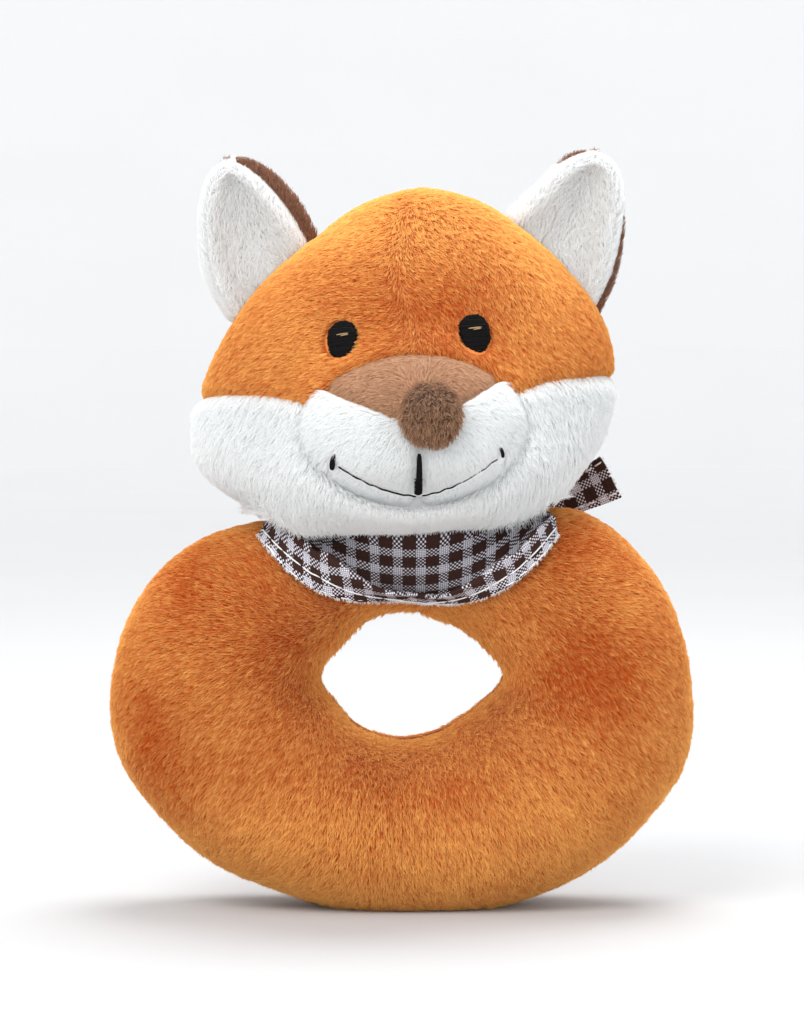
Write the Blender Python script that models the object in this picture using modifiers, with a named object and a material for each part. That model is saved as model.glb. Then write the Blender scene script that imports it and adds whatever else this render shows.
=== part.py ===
"""Plush fox ring rattle.

A stuffed grip ring stands on its lower edge and carries a fox's head, which holds a rattle capsule with loose
beads. A gingham kerchief is tied round the neck. Metres, +Z up, the face looks towards -Y, and the origin is the
centre of the bounding box's bottom face.
"""

import math

import bmesh
import bpy
import numpy as np
from mathutils import Euler, Matrix, Vector

MM = 0.001

# Cloth and clearances
PLUSH = 1.5 * MM  # thickness of a plush panel
GAP = 0.3 * MM  # between pieces that touch
SEAM_GAP = 1.2 * MM  # between two ring panels, which the sewing thread fills
PANEL_GAP = 0.7 * MM  # between two panels of the head
STUFFING_GAP = 1.1 * MM  # between the ring's stuffing and its panels
THREAD_RADIUS = 0.3 * MM
FLOSS_RADIUS = 0.45 * MM  # the embroidery of the mouth
FAR = 60 * MM  # a plane's cut or a cutter's reach, beyond the object on every side

# Ring: radii are measured from the centre of the hole, in millimetres at an angle in degrees
RING_Y = 11.3 * MM  # the ring's seam plane
HOLE_X = 1.5 * MM
HOLE_Z = 43.1 * MM
RING_OUTER = (
    (0, 52.0), (25, 48.7), (44, 43.6), (60, 34.2), (90, 29.4), (120, 33.4), (136, 40.4), (150, 47.2),
    (175, 55.0), (192, 56.2), (212, 53.2), (240, 46.9), (268, 45.0), (292, 46.5), (326, 51.2), (342, 54.0),
)
RING_INNER = (
    (0, 16.7), (24, 13.9), (60, 11.2), (95, 11.6), (128, 12.4), (156, 13.6), (182, 16.5), (204, 14.3),
    (229, 12.8), (262, 11.3), (300, 11.0), (335, 13.3),
)
RING_HALF_DEPTH = 18.5 * MM
NECK_HALF_DEPTH = 12.5 * MM  # where the ring passes under the neck
RING_ROUNDNESS = 2.2  # superellipse exponent of the tube's section
RING_SEGMENTS = 38
TUBE_SEGMENTS = 14
STUFFING_SEGMENTS = 12

# Ladder stitch between the ring and the head: half sizes of the ellipse, and of a stitch's height
NECK_SEAM_Z = 73.9 * MM
NECK_SEAM_HALF = Vector((11 * MM, 4.0 * MM, 0.35 * MM))
NECK_STITCHES = 22
NECK_THREAD_RADIUS = 0.24 * MM

# Head: a rounded triangle, broad at the cheeks, modelled about its own centre
HEAD_CENTRE = Vector((0.2 * MM, RING_Y - 2.0 * MM, 97.0 * MM))
HEAD_TILT = math.radians(-2.7)  # about Y: the fox's left side is higher
HEAD_TURN = math.radians(3.5)  # about Z: the face looks a little to +X
HEAD_HALF_WIDTH = 38.5 * MM
HEAD_FRONT_DEPTH = 25.0 * MM
HEAD_BACK_DEPTH = 23.0 * MM
HEAD_TOP = 36.0 * MM
HEAD_BOTTOM = 27.2 * MM
HEAD_TOP_POWER = 1.6  # superellipse exponents of the outline seen from the front
HEAD_BOTTOM_POWER = 3.0
HEAD_TOP_DEPTH_POWER = 2.0  # and of the outline seen from the side
HEAD_BOTTOM_DEPTH_POWER = 2.6
HEAD_SECTION_POWER = 2.25  # and of a level section
HEAD_LEAN = 0.14  # sideways shift of the outline for each unit of height
CHIN_PUSH = 8.0 * MM  # how far forward the chin leans
CHIN_CURVE = 1.6
HEAD_SEGMENTS = 32
HEAD_RINGS = 16
CHEEK_LINE = -0.7 * MM  # the seam between crown and cheeks
BACK_SEAM_Y = 4.0 * MM
CHIN_FRONT_Y = -15.0 * MM  # behind this the head ends at the neck
NECK_CUT_Z = -21.6 * MM
HEAD_STUFFING_INSET = PLUSH + 0.4 * MM
HEAD_STUFFING_SEGMENTS = (20, 12)

# Muzzle: an ellipsoid that stands out of the face
MUZZLE_CENTRE = Vector((0.0, -22.5 * MM, -8.2 * MM))
MUZZLE_HALF = Vector((20.5 * MM, 14.0 * MM, 14.6 * MM))
MUZZLE_BACK_Y = -19.5 * MM
MUZZLE_SEAT_GAP = 0.39 * MM
MUZZLE_SEGMENTS = (24, 14)
BRIDGE_LOW_Z = -6.6 * MM  # lowest point of the bridge's V-shaped lower edge
BRIDGE_SLOPE = math.radians(26)
NOSE_CENTRE = Vector((2.2 * MM, -37.8 * MM, -4.6 * MM))
NOSE_HALF = Vector((6.1 * MM, 4.6 * MM, 6.6 * MM))
NOSE_PANEL = 1.2 * MM
NOSE_STUFFING_INSET = 1.6 * MM
NOSE_BACK = 0.2 * MM  # the cover reaches this far behind the nose's centre

# Face embroidery, on the face's surface
EYE_X = 11.9 * MM
EYE_Z = 9.1 * MM
EYE_HALF = Vector((2.85 * MM, 0.65 * MM, 3.5 * MM))
GLINT_HALF = Vector((1.0 * MM, 0.3 * MM, 0.3 * MM))
GLINT_OFFSET = Vector((0.4 * MM, 0, 0.6 * MM))
MOUTH_HALF_WIDTH = 14.6 * MM
MOUTH_CORNER_Z = -12.9 * MM
MOUTH_LOW_Z = -19.2 * MM
MOUTH_CURVE = 1.7  # exponent of the smile's curve
SMILE_HALF_WIDTH = 13.7 * MM  # the smile stops short of the corner stitches
PHILTRUM_Z = (-13.0 * MM, -17.9 * MM)  # top and bottom
PHILTRUM_STEPS = 6
SMILE_STEPS = 22
CORNER_STITCHES = {"left": (-15.1 * MM, 2.6 * MM), "right": (15.1 * MM, 1.56 * MM)}  # x and length
CORNER_STITCH_Z = -12.5 * MM

# Ears: base points on the crown, outer end first, and the tip's place
EAR_PANEL = 1.3 * MM
EAR_CUP = 3.2 * MM
EAR_TIP_HALF = 3.2 * MM
EAR_BULGE = 4.2 * MM
EAR_TAPER = 1.5  # exponent of the ear's narrowing towards the tip
EAR_SWEEP = 1.4  # exponent of its sideways curve
EAR_BACK_MARGIN = 0.8 * MM  # the back panel is this much larger than the front one
EARS = {
    "left": {"outer": (-31.8, 12.6), "inner": (-14.8, 28.4), "tip": (-31.0, 42.9)},
    "right": {"outer": (37.2, 10.8), "inner": (20.6, 30.4), "tip": (37.2, 41.8)},
}
EAR_BASE_Y = 1.0 * MM
EAR_GAP = 1.1 * MM  # between the ear's base and the crown, so that the ear can fold

# Rattle capsule and beads, inside the head
CAPSULE_CENTRE = Vector((0.0, 0.0, 3.0 * MM))
CAPSULE_RADIUS = 13.0 * MM
CAPSULE_WALL = 1.2 * MM
BEAD_RADIUS = 2.0 * MM
BEAD_CIRCLE = 4.6 * MM
BEAD_CLEARANCE = 0.9 * MM
BEAD_COUNT = 5

# Kerchief: one cloth round the neck, draped on the ring. The lower edge of its bib is x and z in millimetres.
# Elsewhere its edges are angles on the ring, round the hole and round the tube.
BIB_EDGE = ((-26.0, 69.4), (-19.0, 62.3), (-10.7, 57.9), (0.5, 56.4), (9.0, 57.0), (19.0, 60.6), (28.0, 69.6))
NECK_HOLE = (math.radians(30), math.radians(52))  # half angles of the inner edge
BACK_EDGE = math.radians(-88)  # lowest point of the cloth behind the neck
CLOTH = 0.9 * MM
CLOTH_LIFT = 0.6 * MM  # between the cloth and the ring
CLOTH_SEGMENTS = (32, 5)  # round the neck, and from the inner edge to the outer one
HEM_TURN = (math.radians(12), math.radians(168))  # where the hem stitch starts and ends round the neck
HEM_INSET = 0.09  # share of the cloth's breadth between its edge and the hem
HEM_STEPS = 24
HEM_THREAD_RADIUS = 0.24 * MM
KNOT_CENTRE = Vector((13.5 * MM, RING_Y + 14.9 * MM, 70.4 * MM))
KNOT_HALF = Vector((3.8 * MM, 2.8 * MM, 3.4 * MM))
TAILS = {  # from the knot to the cut end: x, distance behind the ring's seam plane, and z in millimetres
    "upper": ((18.2, 15.2, 71.4), (30.0, 15.6, 74.0), (38.9, 10.6, 79.2)),
    "lower": ((15.2, 18.2, 67.0), (17.5, 20.2, 61.0), (18.6, 20.6, 53.0)),
}
TAIL_HALF_WIDTH = (2.2 * MM, 4.4 * MM)  # at the knot and at the cut end

COLLECTION = "fox_ring_rattle"
CUTTERS = "cutters"


# ---------------------------------------------------------------- scene helpers


def clear_scene():
    for obj in list(bpy.data.objects):
        bpy.data.objects.remove(obj, do_unlink=True)


def new_collection(name):
    made = bpy.data.collections.new(name)
    bpy.context.scene.collection.children.link(made)
    return made


def principled(name, colour, roughness):
    made = bpy.data.materials.new(name)
    made.use_nodes = True
    shader = made.node_tree.nodes["Principled BSDF"]
    shader.inputs["Base Color"].default_value = (*colour, 1.0)
    shader.inputs["Roughness"].default_value = roughness
    shader.inputs["Metallic"].default_value = 0.0
    made.diffuse_color = (*colour, 1.0)
    return made


def add_object(name, bm, colour, roughness=0.9, parent=None, collection=COLLECTION):
    mesh = bpy.data.meshes.new(name)
    bmesh.ops.recalc_face_normals(bm, faces=bm.faces)
    bm.to_mesh(mesh)
    bm.free()
    mesh.shade_smooth()
    mesh.set_sharp_from_angle(angle=math.radians(40))
    mesh.materials.append(principled(name, colour, roughness))
    made = bpy.data.objects.new(name, mesh)
    made.parent = parent
    bpy.data.collections[collection].objects.link(made)
    return made


def add_cutter(name, bm, parent=None):
    made = add_object(name, bm, (0.5, 0.5, 0.5), parent=parent, collection=CUTTERS)
    made.hide_render = True
    made.display_type = "WIRE"
    return made


def solidify(obj, thickness, offset=-1.0, even=True):
    modifier = obj.modifiers.new("thickness", "SOLIDIFY")
    modifier.thickness = thickness
    modifier.offset = offset
    modifier.use_even_offset = even
    modifier.use_quality_normals = True


def cut(obj, cutter, operation="DIFFERENCE"):
    modifier = obj.modifiers.new(f"{operation.lower()}_{cutter.name}", "BOOLEAN")
    modifier.operation = operation
    modifier.solver = "EXACT"
    modifier.object = cutter


def keep_side(bm, point, normal):
    """Keeps the part of an open surface on the side that the normal points to."""
    geometry = [*bm.verts, *bm.edges, *bm.faces]
    bmesh.ops.bisect_plane(
        bm, geom=geometry, dist=1e-7, plane_co=point, plane_no=normal, clear_inner=True
    )


def add_thread(name, points, radius, colour, cyclic=False, parent=None, sides=4):
    """A thread along the points, as a bevelled curve made into a mesh whose ends are closed."""
    curve = bpy.data.curves.new(name, "CURVE")
    curve.dimensions = "3D"
    curve.bevel_depth = radius
    curve.bevel_resolution = sides // 2 - 2
    curve.use_fill_caps = not cyclic
    spline = curve.splines.new("POLY")
    spline.points.add(len(points) - 1)
    for point, place in zip(spline.points, points):
        point.co = (*place, 1.0)
    spline.use_cyclic_u = cyclic
    guide = bpy.data.objects.new(name + "_guide", curve)
    bpy.data.collections[COLLECTION].objects.link(guide)
    bpy.context.view_layer.update()
    graph = bpy.context.evaluated_depsgraph_get()
    mesh = bpy.data.meshes.new_from_object(guide.evaluated_get(graph))
    bpy.data.objects.remove(guide, do_unlink=True)
    bm = bmesh.new()
    bm.from_mesh(mesh)
    bpy.data.meshes.remove(mesh)
    bmesh.ops.remove_doubles(bm, verts=bm.verts, dist=1e-7)
    return add_object(name, bm, colour, 0.6, parent)


# ---------------------------------------------------------------- shape functions


def closed_profile(points, degrees):
    """Radius in metres at an angle, on a smooth closed curve through (degrees, millimetres) points."""
    angles = np.array([p[0] for p in points], float)
    radii = np.array([p[1] for p in points], float)
    angles_3 = np.concatenate([angles - 360, angles, angles + 360])
    radii_3 = np.tile(radii, 3)
    slopes = np.gradient(radii_3, angles_3)
    at = np.mod(degrees, 360)
    low = int(np.clip(np.searchsorted(angles_3, at) - 1, 0, len(angles_3) - 2))
    span = angles_3[low + 1] - angles_3[low]
    t = (at - angles_3[low]) / span
    value = (
        (2 * t**3 - 3 * t**2 + 1) * radii_3[low]
        + (t**3 - 2 * t**2 + t) * span * slopes[low]
        + (3 * t**2 - 2 * t**3) * radii_3[low + 1]
        + (t**3 - t**2) * span * slopes[low + 1]
    )
    return float(value) * MM


def signed_power(value, power):
    return math.copysign(abs(value) ** power, value)


def ring_section(theta, inset=0.0):
    """The tube at the angle theta round the hole: middle radius, half width and half depth."""
    degrees = math.degrees(theta)
    outer = closed_profile(RING_OUTER, degrees)
    inner = closed_profile(RING_INNER, degrees)
    neck = max(0.0, math.sin(theta)) ** 3
    depth = RING_HALF_DEPTH + (NECK_HALF_DEPTH - RING_HALF_DEPTH) * neck
    return (outer + inner) / 2, (outer - inner) / 2 - inset, depth - inset


def ring_point(theta, phi, inset=0.0):
    """A point of the ring's surface: phi is 0 at the outer seam and pi at the inner one, front first."""
    middle, half_width, half_depth = ring_section(theta, inset)
    across = signed_power(math.cos(phi), 2 / RING_ROUNDNESS)
    forward = signed_power(math.sin(phi), 2 / RING_ROUNDNESS)
    radius = middle + half_width * across
    x = HOLE_X + radius * math.cos(theta)
    z = HOLE_Z + radius * math.sin(theta)
    return Vector((x, RING_Y - half_depth * forward, max(z, inset)))


def head_point(direction, inset=0.0):
    """The head's surface in the direction of a unit vector, about the head's centre."""
    height = direction.z
    level = math.hypot(direction.x, direction.y)
    power = HEAD_TOP_POWER if height > 0 else HEAD_BOTTOM_POWER
    tall = (HEAD_TOP if height > 0 else HEAD_BOTTOM) - inset
    z = tall * signed_power(height, 2 / power)
    outline = level ** (2 / power)
    depth_power = HEAD_TOP_DEPTH_POWER if height > 0 else HEAD_BOTTOM_DEPTH_POWER
    depth_outline = level ** (2 / depth_power)
    turn = math.atan2(direction.y, direction.x)
    across = signed_power(math.cos(turn), 2 / HEAD_SECTION_POWER)
    forward = signed_power(math.sin(turn), 2 / HEAD_SECTION_POWER)
    depth = HEAD_FRONT_DEPTH if direction.y < 0 else HEAD_BACK_DEPTH
    x = (HEAD_HALF_WIDTH - inset) * outline * across
    y = (depth - inset) * depth_outline * forward - chin_lean(z)
    return Vector((x + HEAD_LEAN * z, y, z))


def chin_lean(z):
    """How far forward the lower half of the head leans at the height z."""
    return CHIN_PUSH * (max(0.0, -z) / HEAD_BOTTOM) ** CHIN_CURVE


def head_surface_y(x, z):
    """Y of the front of the head at x and z, found on the same superellipses."""
    power = HEAD_TOP_POWER if z > 0 else HEAD_BOTTOM_POWER
    tall = HEAD_TOP if z > 0 else HEAD_BOTTOM
    share = min(abs(z) / tall, 1.0)
    outline = (1 - share**power) ** (1 / power)
    level = outline ** (power / 2)
    depth_power = HEAD_TOP_DEPTH_POWER if z > 0 else HEAD_BOTTOM_DEPTH_POWER
    across = min(abs(x - HEAD_LEAN * z) / (HEAD_HALF_WIDTH * outline), 1.0)
    forward = (1 - across**HEAD_SECTION_POWER) ** (1 / HEAD_SECTION_POWER)
    return -HEAD_FRONT_DEPTH * level ** (2 / depth_power) * forward - chin_lean(z)


def inside_head(place, grow):
    """Whether a point lies inside the head's surface, once that is moved out by grow."""
    power = HEAD_TOP_POWER if place.z > 0 else HEAD_BOTTOM_POWER
    tall = (HEAD_TOP if place.z > 0 else HEAD_BOTTOM) + grow
    if abs(place.z) >= tall:
        return False
    outline = (1 - (abs(place.z) / tall) ** power) ** (1 / power)
    level = outline ** (power / 2)
    depth_power = HEAD_TOP_DEPTH_POWER if place.z > 0 else HEAD_BOTTOM_DEPTH_POWER
    depth = (HEAD_FRONT_DEPTH if place.y < 0 else HEAD_BACK_DEPTH) + grow
    depth *= level ** (2 / depth_power)
    across = abs(place.x - HEAD_LEAN * place.z) / ((HEAD_HALF_WIDTH + grow) * outline)
    forward = abs(place.y + chin_lean(place.z)) / depth
    return across**HEAD_SECTION_POWER + forward**HEAD_SECTION_POWER < 1


def muzzle_surface_y(x, z):
    """Y of the front of the muzzle at x and z."""
    dx = (x - MUZZLE_CENTRE.x) / MUZZLE_HALF.x
    dz = (z - MUZZLE_CENTRE.z) / MUZZLE_HALF.z
    return MUZZLE_CENTRE.y - MUZZLE_HALF.y * math.sqrt(max(0.0, 1 - dx * dx - dz * dz))


def sphere_bm(segments, rings):
    bm = bmesh.new()
    bmesh.ops.create_uvsphere(bm, u_segments=segments, v_segments=rings, radius=1.0)
    return bm


def ellipsoid_bm(centre, half, segments=16, rings=10):
    bm = sphere_bm(segments, rings)
    for vert in bm.verts:
        vert.co = centre + Vector(c * h for c, h in zip(vert.co, half))
    return bm


def head_bm(inset=0.0, segments=HEAD_SEGMENTS, rings=HEAD_RINGS):
    bm = sphere_bm(segments, rings)
    for vert in bm.verts:
        vert.co = head_point(vert.co.normalized(), inset)
    return bm


def ring_bm(inset=0.0, segments=RING_SEGMENTS, tube=TUBE_SEGMENTS):
    """A torus whose points are moved onto the ring's own sections."""
    major = 2.0
    before = set(bpy.data.objects)
    bpy.ops.mesh.primitive_torus_add(
        major_segments=segments, minor_segments=tube, major_radius=major, minor_radius=1.0
    )
    torus = (set(bpy.data.objects) - before).pop()
    bm = bmesh.new()
    bm.from_mesh(torus.data)
    bpy.data.objects.remove(torus, do_unlink=True)
    for vert in bm.verts:
        theta = math.atan2(vert.co.y, vert.co.x)
        phi = math.atan2(vert.co.z, math.hypot(vert.co.x, vert.co.y) - major)
        vert.co = ring_point(theta, phi, inset)
    return bm


# ---------------------------------------------------------------- ring


ORANGE = (0.60, 0.17, 0.03)
WHITE = (0.85, 0.85, 0.84)
BRIDGE_BROWN = (0.47, 0.21, 0.12)
NOSE_BROWN = (0.19, 0.09, 0.05)
EAR_BROWN = (0.27, 0.12, 0.06)
FIBRE = (0.88, 0.88, 0.86)
BLACK = (0.01, 0.01, 0.01)
GINGHAM = (0.22, 0.14, 0.12)


def make_ring():
    for name, side in (("ring_front_panel", -1), ("ring_back_panel", 1)):
        bm = ring_bm()
        edge = Vector((0, RING_Y + side * SEAM_GAP / 2, 0))
        keep_side(bm, edge, Vector((0, side, 0)))
        panel = add_object(name, bm, ORANGE)
        solidify(panel, PLUSH)
    stuffing = ring_bm(PLUSH + STUFFING_GAP, RING_SEGMENTS, STUFFING_SEGMENTS)
    add_object("ring_stuffing", stuffing, FIBRE)
    for name, phi in (("ring_outer_seam_thread", 0.0), ("ring_inner_seam_thread", math.pi)):
        turns = [math.tau * i / RING_SEGMENTS for i in range(RING_SEGMENTS)]
        points = [ring_point(theta, phi, PLUSH / 2) for theta in turns]
        add_thread(name, points, THREAD_RADIUS, ORANGE, cyclic=True)


def make_neck_seam():
    """One thread that zigzags round the neck between the ring and the head."""
    points = []
    for i in range(NECK_STITCHES):
        turn = math.tau * i / NECK_STITCHES
        x = HOLE_X + NECK_SEAM_HALF.x * math.cos(turn)
        y = RING_Y + NECK_SEAM_HALF.y * math.sin(turn)
        side = 1 if i % 2 else -1
        points.append(Vector((x, y, NECK_SEAM_Z + side * NECK_SEAM_HALF.z)))
    add_thread("neck_seam_thread", points, NECK_THREAD_RADIUS, ORANGE, cyclic=True)


# ---------------------------------------------------------------- head


def head_axis():
    """The empty that every piece of the head is parented to."""
    made = bpy.data.objects.new("head_axis", None)
    made.location = HEAD_CENTRE
    made.rotation_euler = Euler((0.0, HEAD_TILT, HEAD_TURN))
    bpy.data.collections[COLLECTION].objects.link(made)
    return made


def box_bm(low, high):
    bm = bmesh.new()
    bmesh.ops.create_cube(bm, size=1.0)
    middle = (Vector(low) + Vector(high)) / 2
    size = Vector(high) - Vector(low)
    for vert in bm.verts:
        vert.co = middle + Vector(c * s for c, s in zip(vert.co, size))
    return bm


def make_head_panels(head):
    neck = add_cutter("neck_notch", box_bm((-FAR, CHIN_FRONT_Y, -FAR), (FAR, FAR, NECK_CUT_Z)), head)
    grown = MUZZLE_HALF + Vector((1, 1, 1)) * MUZZLE_SEAT_GAP
    muzzle = add_cutter("muzzle_seat", ellipsoid_bm(MUZZLE_CENTRE, grown, *MUZZLE_SEGMENTS), head)
    half = PANEL_GAP / 2
    front = (Vector((0, BACK_SEAM_Y - half, 0)), Vector((0, -1, 0)))
    above = (Vector((0, 0, CHEEK_LINE + half)), Vector((0, 0, 1)))
    below = (Vector((0, 0, CHEEK_LINE - half)), Vector((0, 0, -1)))
    left = (Vector((-half, 0, 0)), Vector((-1, 0, 0)))
    right = (Vector((half, 0, 0)), Vector((1, 0, 0)))
    back = (Vector((0, BACK_SEAM_Y + half, 0)), Vector((0, 1, 0)))
    panels = {
        "crown_left": (ORANGE, (front, above, left)),
        "crown_right": (ORANGE, (front, above, right)),
        "cheek_left": (WHITE, (front, below, left)),
        "cheek_right": (WHITE, (front, below, right)),
        "head_back": (ORANGE, (back,)),
    }
    for name, (colour, planes) in panels.items():
        bm = head_bm()
        for point, normal in planes:
            keep_side(bm, point, normal)
        panel = add_object(name, bm, colour, parent=head)
        solidify(panel, PLUSH)
        if name != "head_back":
            cut(panel, muzzle)
        if name != "crown_left" and name != "crown_right":
            cut(panel, neck)
    return neck, muzzle


def make_head_stuffing(head, neck, muzzle):
    pocket_radius = CAPSULE_RADIUS + 2 * GAP
    pocket_half = Vector((1, 1, 1)) * pocket_radius
    pocket = add_cutter("capsule_pocket", ellipsoid_bm(CAPSULE_CENTRE, pocket_half), head)
    halves = {
        "head_stuffing_front": box_bm((-FAR, -FAR, NECK_CUT_Z + GAP), (FAR, -GAP / 2, FAR)),
        "head_stuffing_back": box_bm((-FAR, GAP / 2, NECK_CUT_Z + GAP), (FAR, FAR, FAR)),
    }
    for name, box in halves.items():
        bm = head_bm(HEAD_STUFFING_INSET, *HEAD_STUFFING_SEGMENTS)
        stuffing = add_object(name, bm, FIBRE, parent=head)
        cut(stuffing, add_cutter(name + "_bounds", box, head), "INTERSECT")
        cut(stuffing, pocket)
        if name == "head_stuffing_front":
            cut(stuffing, muzzle)


def make_muzzle(head):
    half = PANEL_GAP / 2
    slope = Vector((math.sin(BRIDGE_SLOPE), 0, math.cos(BRIDGE_SLOPE)))
    mirrored = Vector((-slope.x, 0, slope.z))
    low = Vector((0, 0, BRIDGE_LOW_Z))
    back = (Vector((0, MUZZLE_BACK_Y, 0)), Vector((0, -1, 0)))
    pieces = {
        "muzzle_bridge": (BRIDGE_BROWN, ((low + slope * half, slope), (low + mirrored * half, mirrored))),
        "muzzle_left": (WHITE, ((low - slope * half, -slope), (Vector((-half, 0, 0)), Vector((-1, 0, 0))))),
        "muzzle_right": (WHITE, ((low - mirrored * half, -mirrored), (Vector((half, 0, 0)), Vector((1, 0, 0))))),
    }
    for name, (colour, planes) in pieces.items():
        bm = ellipsoid_bm(MUZZLE_CENTRE, MUZZLE_HALF, *MUZZLE_SEGMENTS)
        for point, normal in (back, *planes):
            keep_side(bm, point, normal)
        solidify(add_object(name, bm, colour, parent=head), PLUSH)
    inner = MUZZLE_HALF - Vector((1, 1, 1)) * (PLUSH + GAP)
    stuffing = add_object("muzzle_stuffing", ellipsoid_bm(MUZZLE_CENTRE, inner), FIBRE, parent=head)
    bounds = add_cutter("muzzle_bounds", box_bm((-FAR, -FAR, -FAR), (FAR, MUZZLE_BACK_Y, FAR)), head)
    cut(stuffing, bounds, "INTERSECT")


def make_nose(head):
    """A small stuffed cover, open at the back where it is sewn to the muzzle."""
    bm = ellipsoid_bm(NOSE_CENTRE, NOSE_HALF)
    keep_side(bm, NOSE_CENTRE + Vector((0, NOSE_BACK, 0)), Vector((0, -1, 0)))
    cover = add_object("nose_cover", bm, NOSE_BROWN, parent=head)
    solidify(cover, NOSE_PANEL)
    grown = MUZZLE_HALF + Vector((1, 1, 1)) * GAP
    seat = add_cutter("nose_seat", ellipsoid_bm(MUZZLE_CENTRE, grown, *MUZZLE_SEGMENTS), head)
    cut(cover, seat)
    inner = NOSE_HALF - Vector((1, 1, 1)) * NOSE_STUFFING_INSET
    stuffing = add_object("nose_stuffing", ellipsoid_bm(NOSE_CENTRE, inner, 14, 8), FIBRE, parent=head)
    cut(stuffing, seat)


def make_face(head):
    for name, side in (("left", -1), ("right", 1)):
        x = side * EYE_X
        y = head_surface_y(x, EYE_Z)
        step = 0.5 * MM
        slope_x = (head_surface_y(x + step, EYE_Z) - head_surface_y(x - step, EYE_Z)) / (2 * step)
        slope_z = (head_surface_y(x, EYE_Z + step) - head_surface_y(x, EYE_Z - step)) / (2 * step)
        outward = Vector((slope_x, -1.0, slope_z)).normalized()
        turn = Vector((0, -1, 0)).rotation_difference(outward).to_matrix()
        place = Vector((x, y, EYE_Z)) + outward * (EYE_HALF.y + GAP)
        eye = ellipsoid_bm(Vector(), EYE_HALF, 14, 6)
        bmesh.ops.transform(eye, matrix=Matrix.Translation(place) @ turn.to_4x4(), verts=eye.verts)
        add_object(f"eye_{name}", eye, BLACK, 0.5, head)
        glint = ellipsoid_bm(GLINT_OFFSET, GLINT_HALF, 8, 6)
        above = place + outward * (EYE_HALF.y + GLINT_HALF.y + GAP / 2)
        bmesh.ops.transform(glint, matrix=Matrix.Translation(above) @ turn.to_4x4(), verts=glint.verts)
        add_object(f"eye_glint_{name}", glint, (0.5, 0.38, 0.2), 0.5, head)


def on_muzzle(x, z, lift):
    """A point lifted off the muzzle along the ellipsoid's normal."""
    place = Vector((x, muzzle_surface_y(x, z), z))
    outward = Vector((p - c) / (h * h) for p, c, h in zip(place, MUZZLE_CENTRE, MUZZLE_HALF))
    return place + outward.normalized() * lift


def mouth_z(x):
    share = abs(x) / MOUTH_HALF_WIDTH
    return MOUTH_LOW_Z + (MOUTH_CORNER_Z - MOUTH_LOW_Z) * share**MOUTH_CURVE


def make_mouth(head):
    lift = FLOSS_RADIUS + GAP
    middle = [on_muzzle(0, z, lift) for z in np.linspace(*PHILTRUM_Z, PHILTRUM_STEPS + 1)]
    add_thread("philtrum_stitch", middle, FLOSS_RADIUS, BLACK, parent=head)
    across = np.linspace(-SMILE_HALF_WIDTH, SMILE_HALF_WIDTH, SMILE_STEPS + 1)
    smile = [on_muzzle(x, mouth_z(x), lift) for x in across]
    add_thread("smile_stitch", smile, THREAD_RADIUS, BLACK, parent=head)
    for name, (x, length) in CORNER_STITCHES.items():
        points = [on_muzzle(x, CORNER_STITCH_Z + length * share, lift) for share in (-0.5, 0, 0.5)]
        add_thread(f"mouth_corner_{name}", points, FLOSS_RADIUS, BLACK, parent=head)


# ---------------------------------------------------------------- ears


def ear_frame(ear):
    """Base middle, direction to the outer end, direction to the tip, half base and height of an ear."""
    outer = Vector((ear["outer"][0], 0, ear["outer"][1])) * MM
    inner = Vector((ear["inner"][0], 0, ear["inner"][1])) * MM
    tip = Vector((ear["tip"][0], 0, ear["tip"][1])) * MM
    middle = (outer + inner) / 2 + Vector((0, EAR_BASE_Y, 0))
    across = (outer - inner).normalized()
    up = Vector((-across.z, 0, across.x))
    if up.z < 0:
        up = -up
    offset = tip + Vector((0, EAR_BASE_Y, 0)) - middle
    return middle, across, up, (outer - inner).length / 2, offset.dot(up), offset.dot(across)


def ear_bm(ear, layer, grow):
    """A cupped triangular panel, layer behind the ear's middle surface."""
    middle, across, up, half_base, height, lean = ear_frame(ear)
    bm = bmesh.new()
    bmesh.ops.create_grid(bm, x_segments=6, y_segments=7, size=1.0)
    for vert in bm.verts:
        u = vert.co.x
        v = (vert.co.y + 1) / 2
        half = EAR_TIP_HALF + (half_base - EAR_TIP_HALF) * (1 - v**EAR_TAPER)
        half += EAR_BULGE * math.sin(math.pi * v) + grow * v
        centre = lean * v**EAR_SWEEP
        seat = middle + across * (centre + u * half)
        base = 0.0
        while inside_head(seat + up * base, EAR_GAP):
            base += 0.05 * MM
        cup = EAR_CUP * (1 - u * u) * math.sin(math.pi * min(1.0, 0.9 * v))
        rise = base + (height + grow - base) * v
        vert.co = seat + up * rise + Vector((0, cup + layer, 0))
    return bm


def make_ears(head):
    for side, ear in EARS.items():
        front = add_object(f"ear_{side}_front", ear_bm(ear, -GAP / 2, 0.0), WHITE, parent=head)
        solidify(front, EAR_PANEL, 1.0 if ear_faces_front(front) else -1.0)
        back = add_object(f"ear_{side}_back", ear_bm(ear, GAP / 2, EAR_BACK_MARGIN), EAR_BROWN, parent=head)
        solidify(back, EAR_PANEL, -1.0 if ear_faces_front(back) else 1.0)


def ear_faces_front(panel):
    return sum(face.normal.y * face.area for face in panel.data.polygons) < 0


# ---------------------------------------------------------------- rattle capsule


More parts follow.
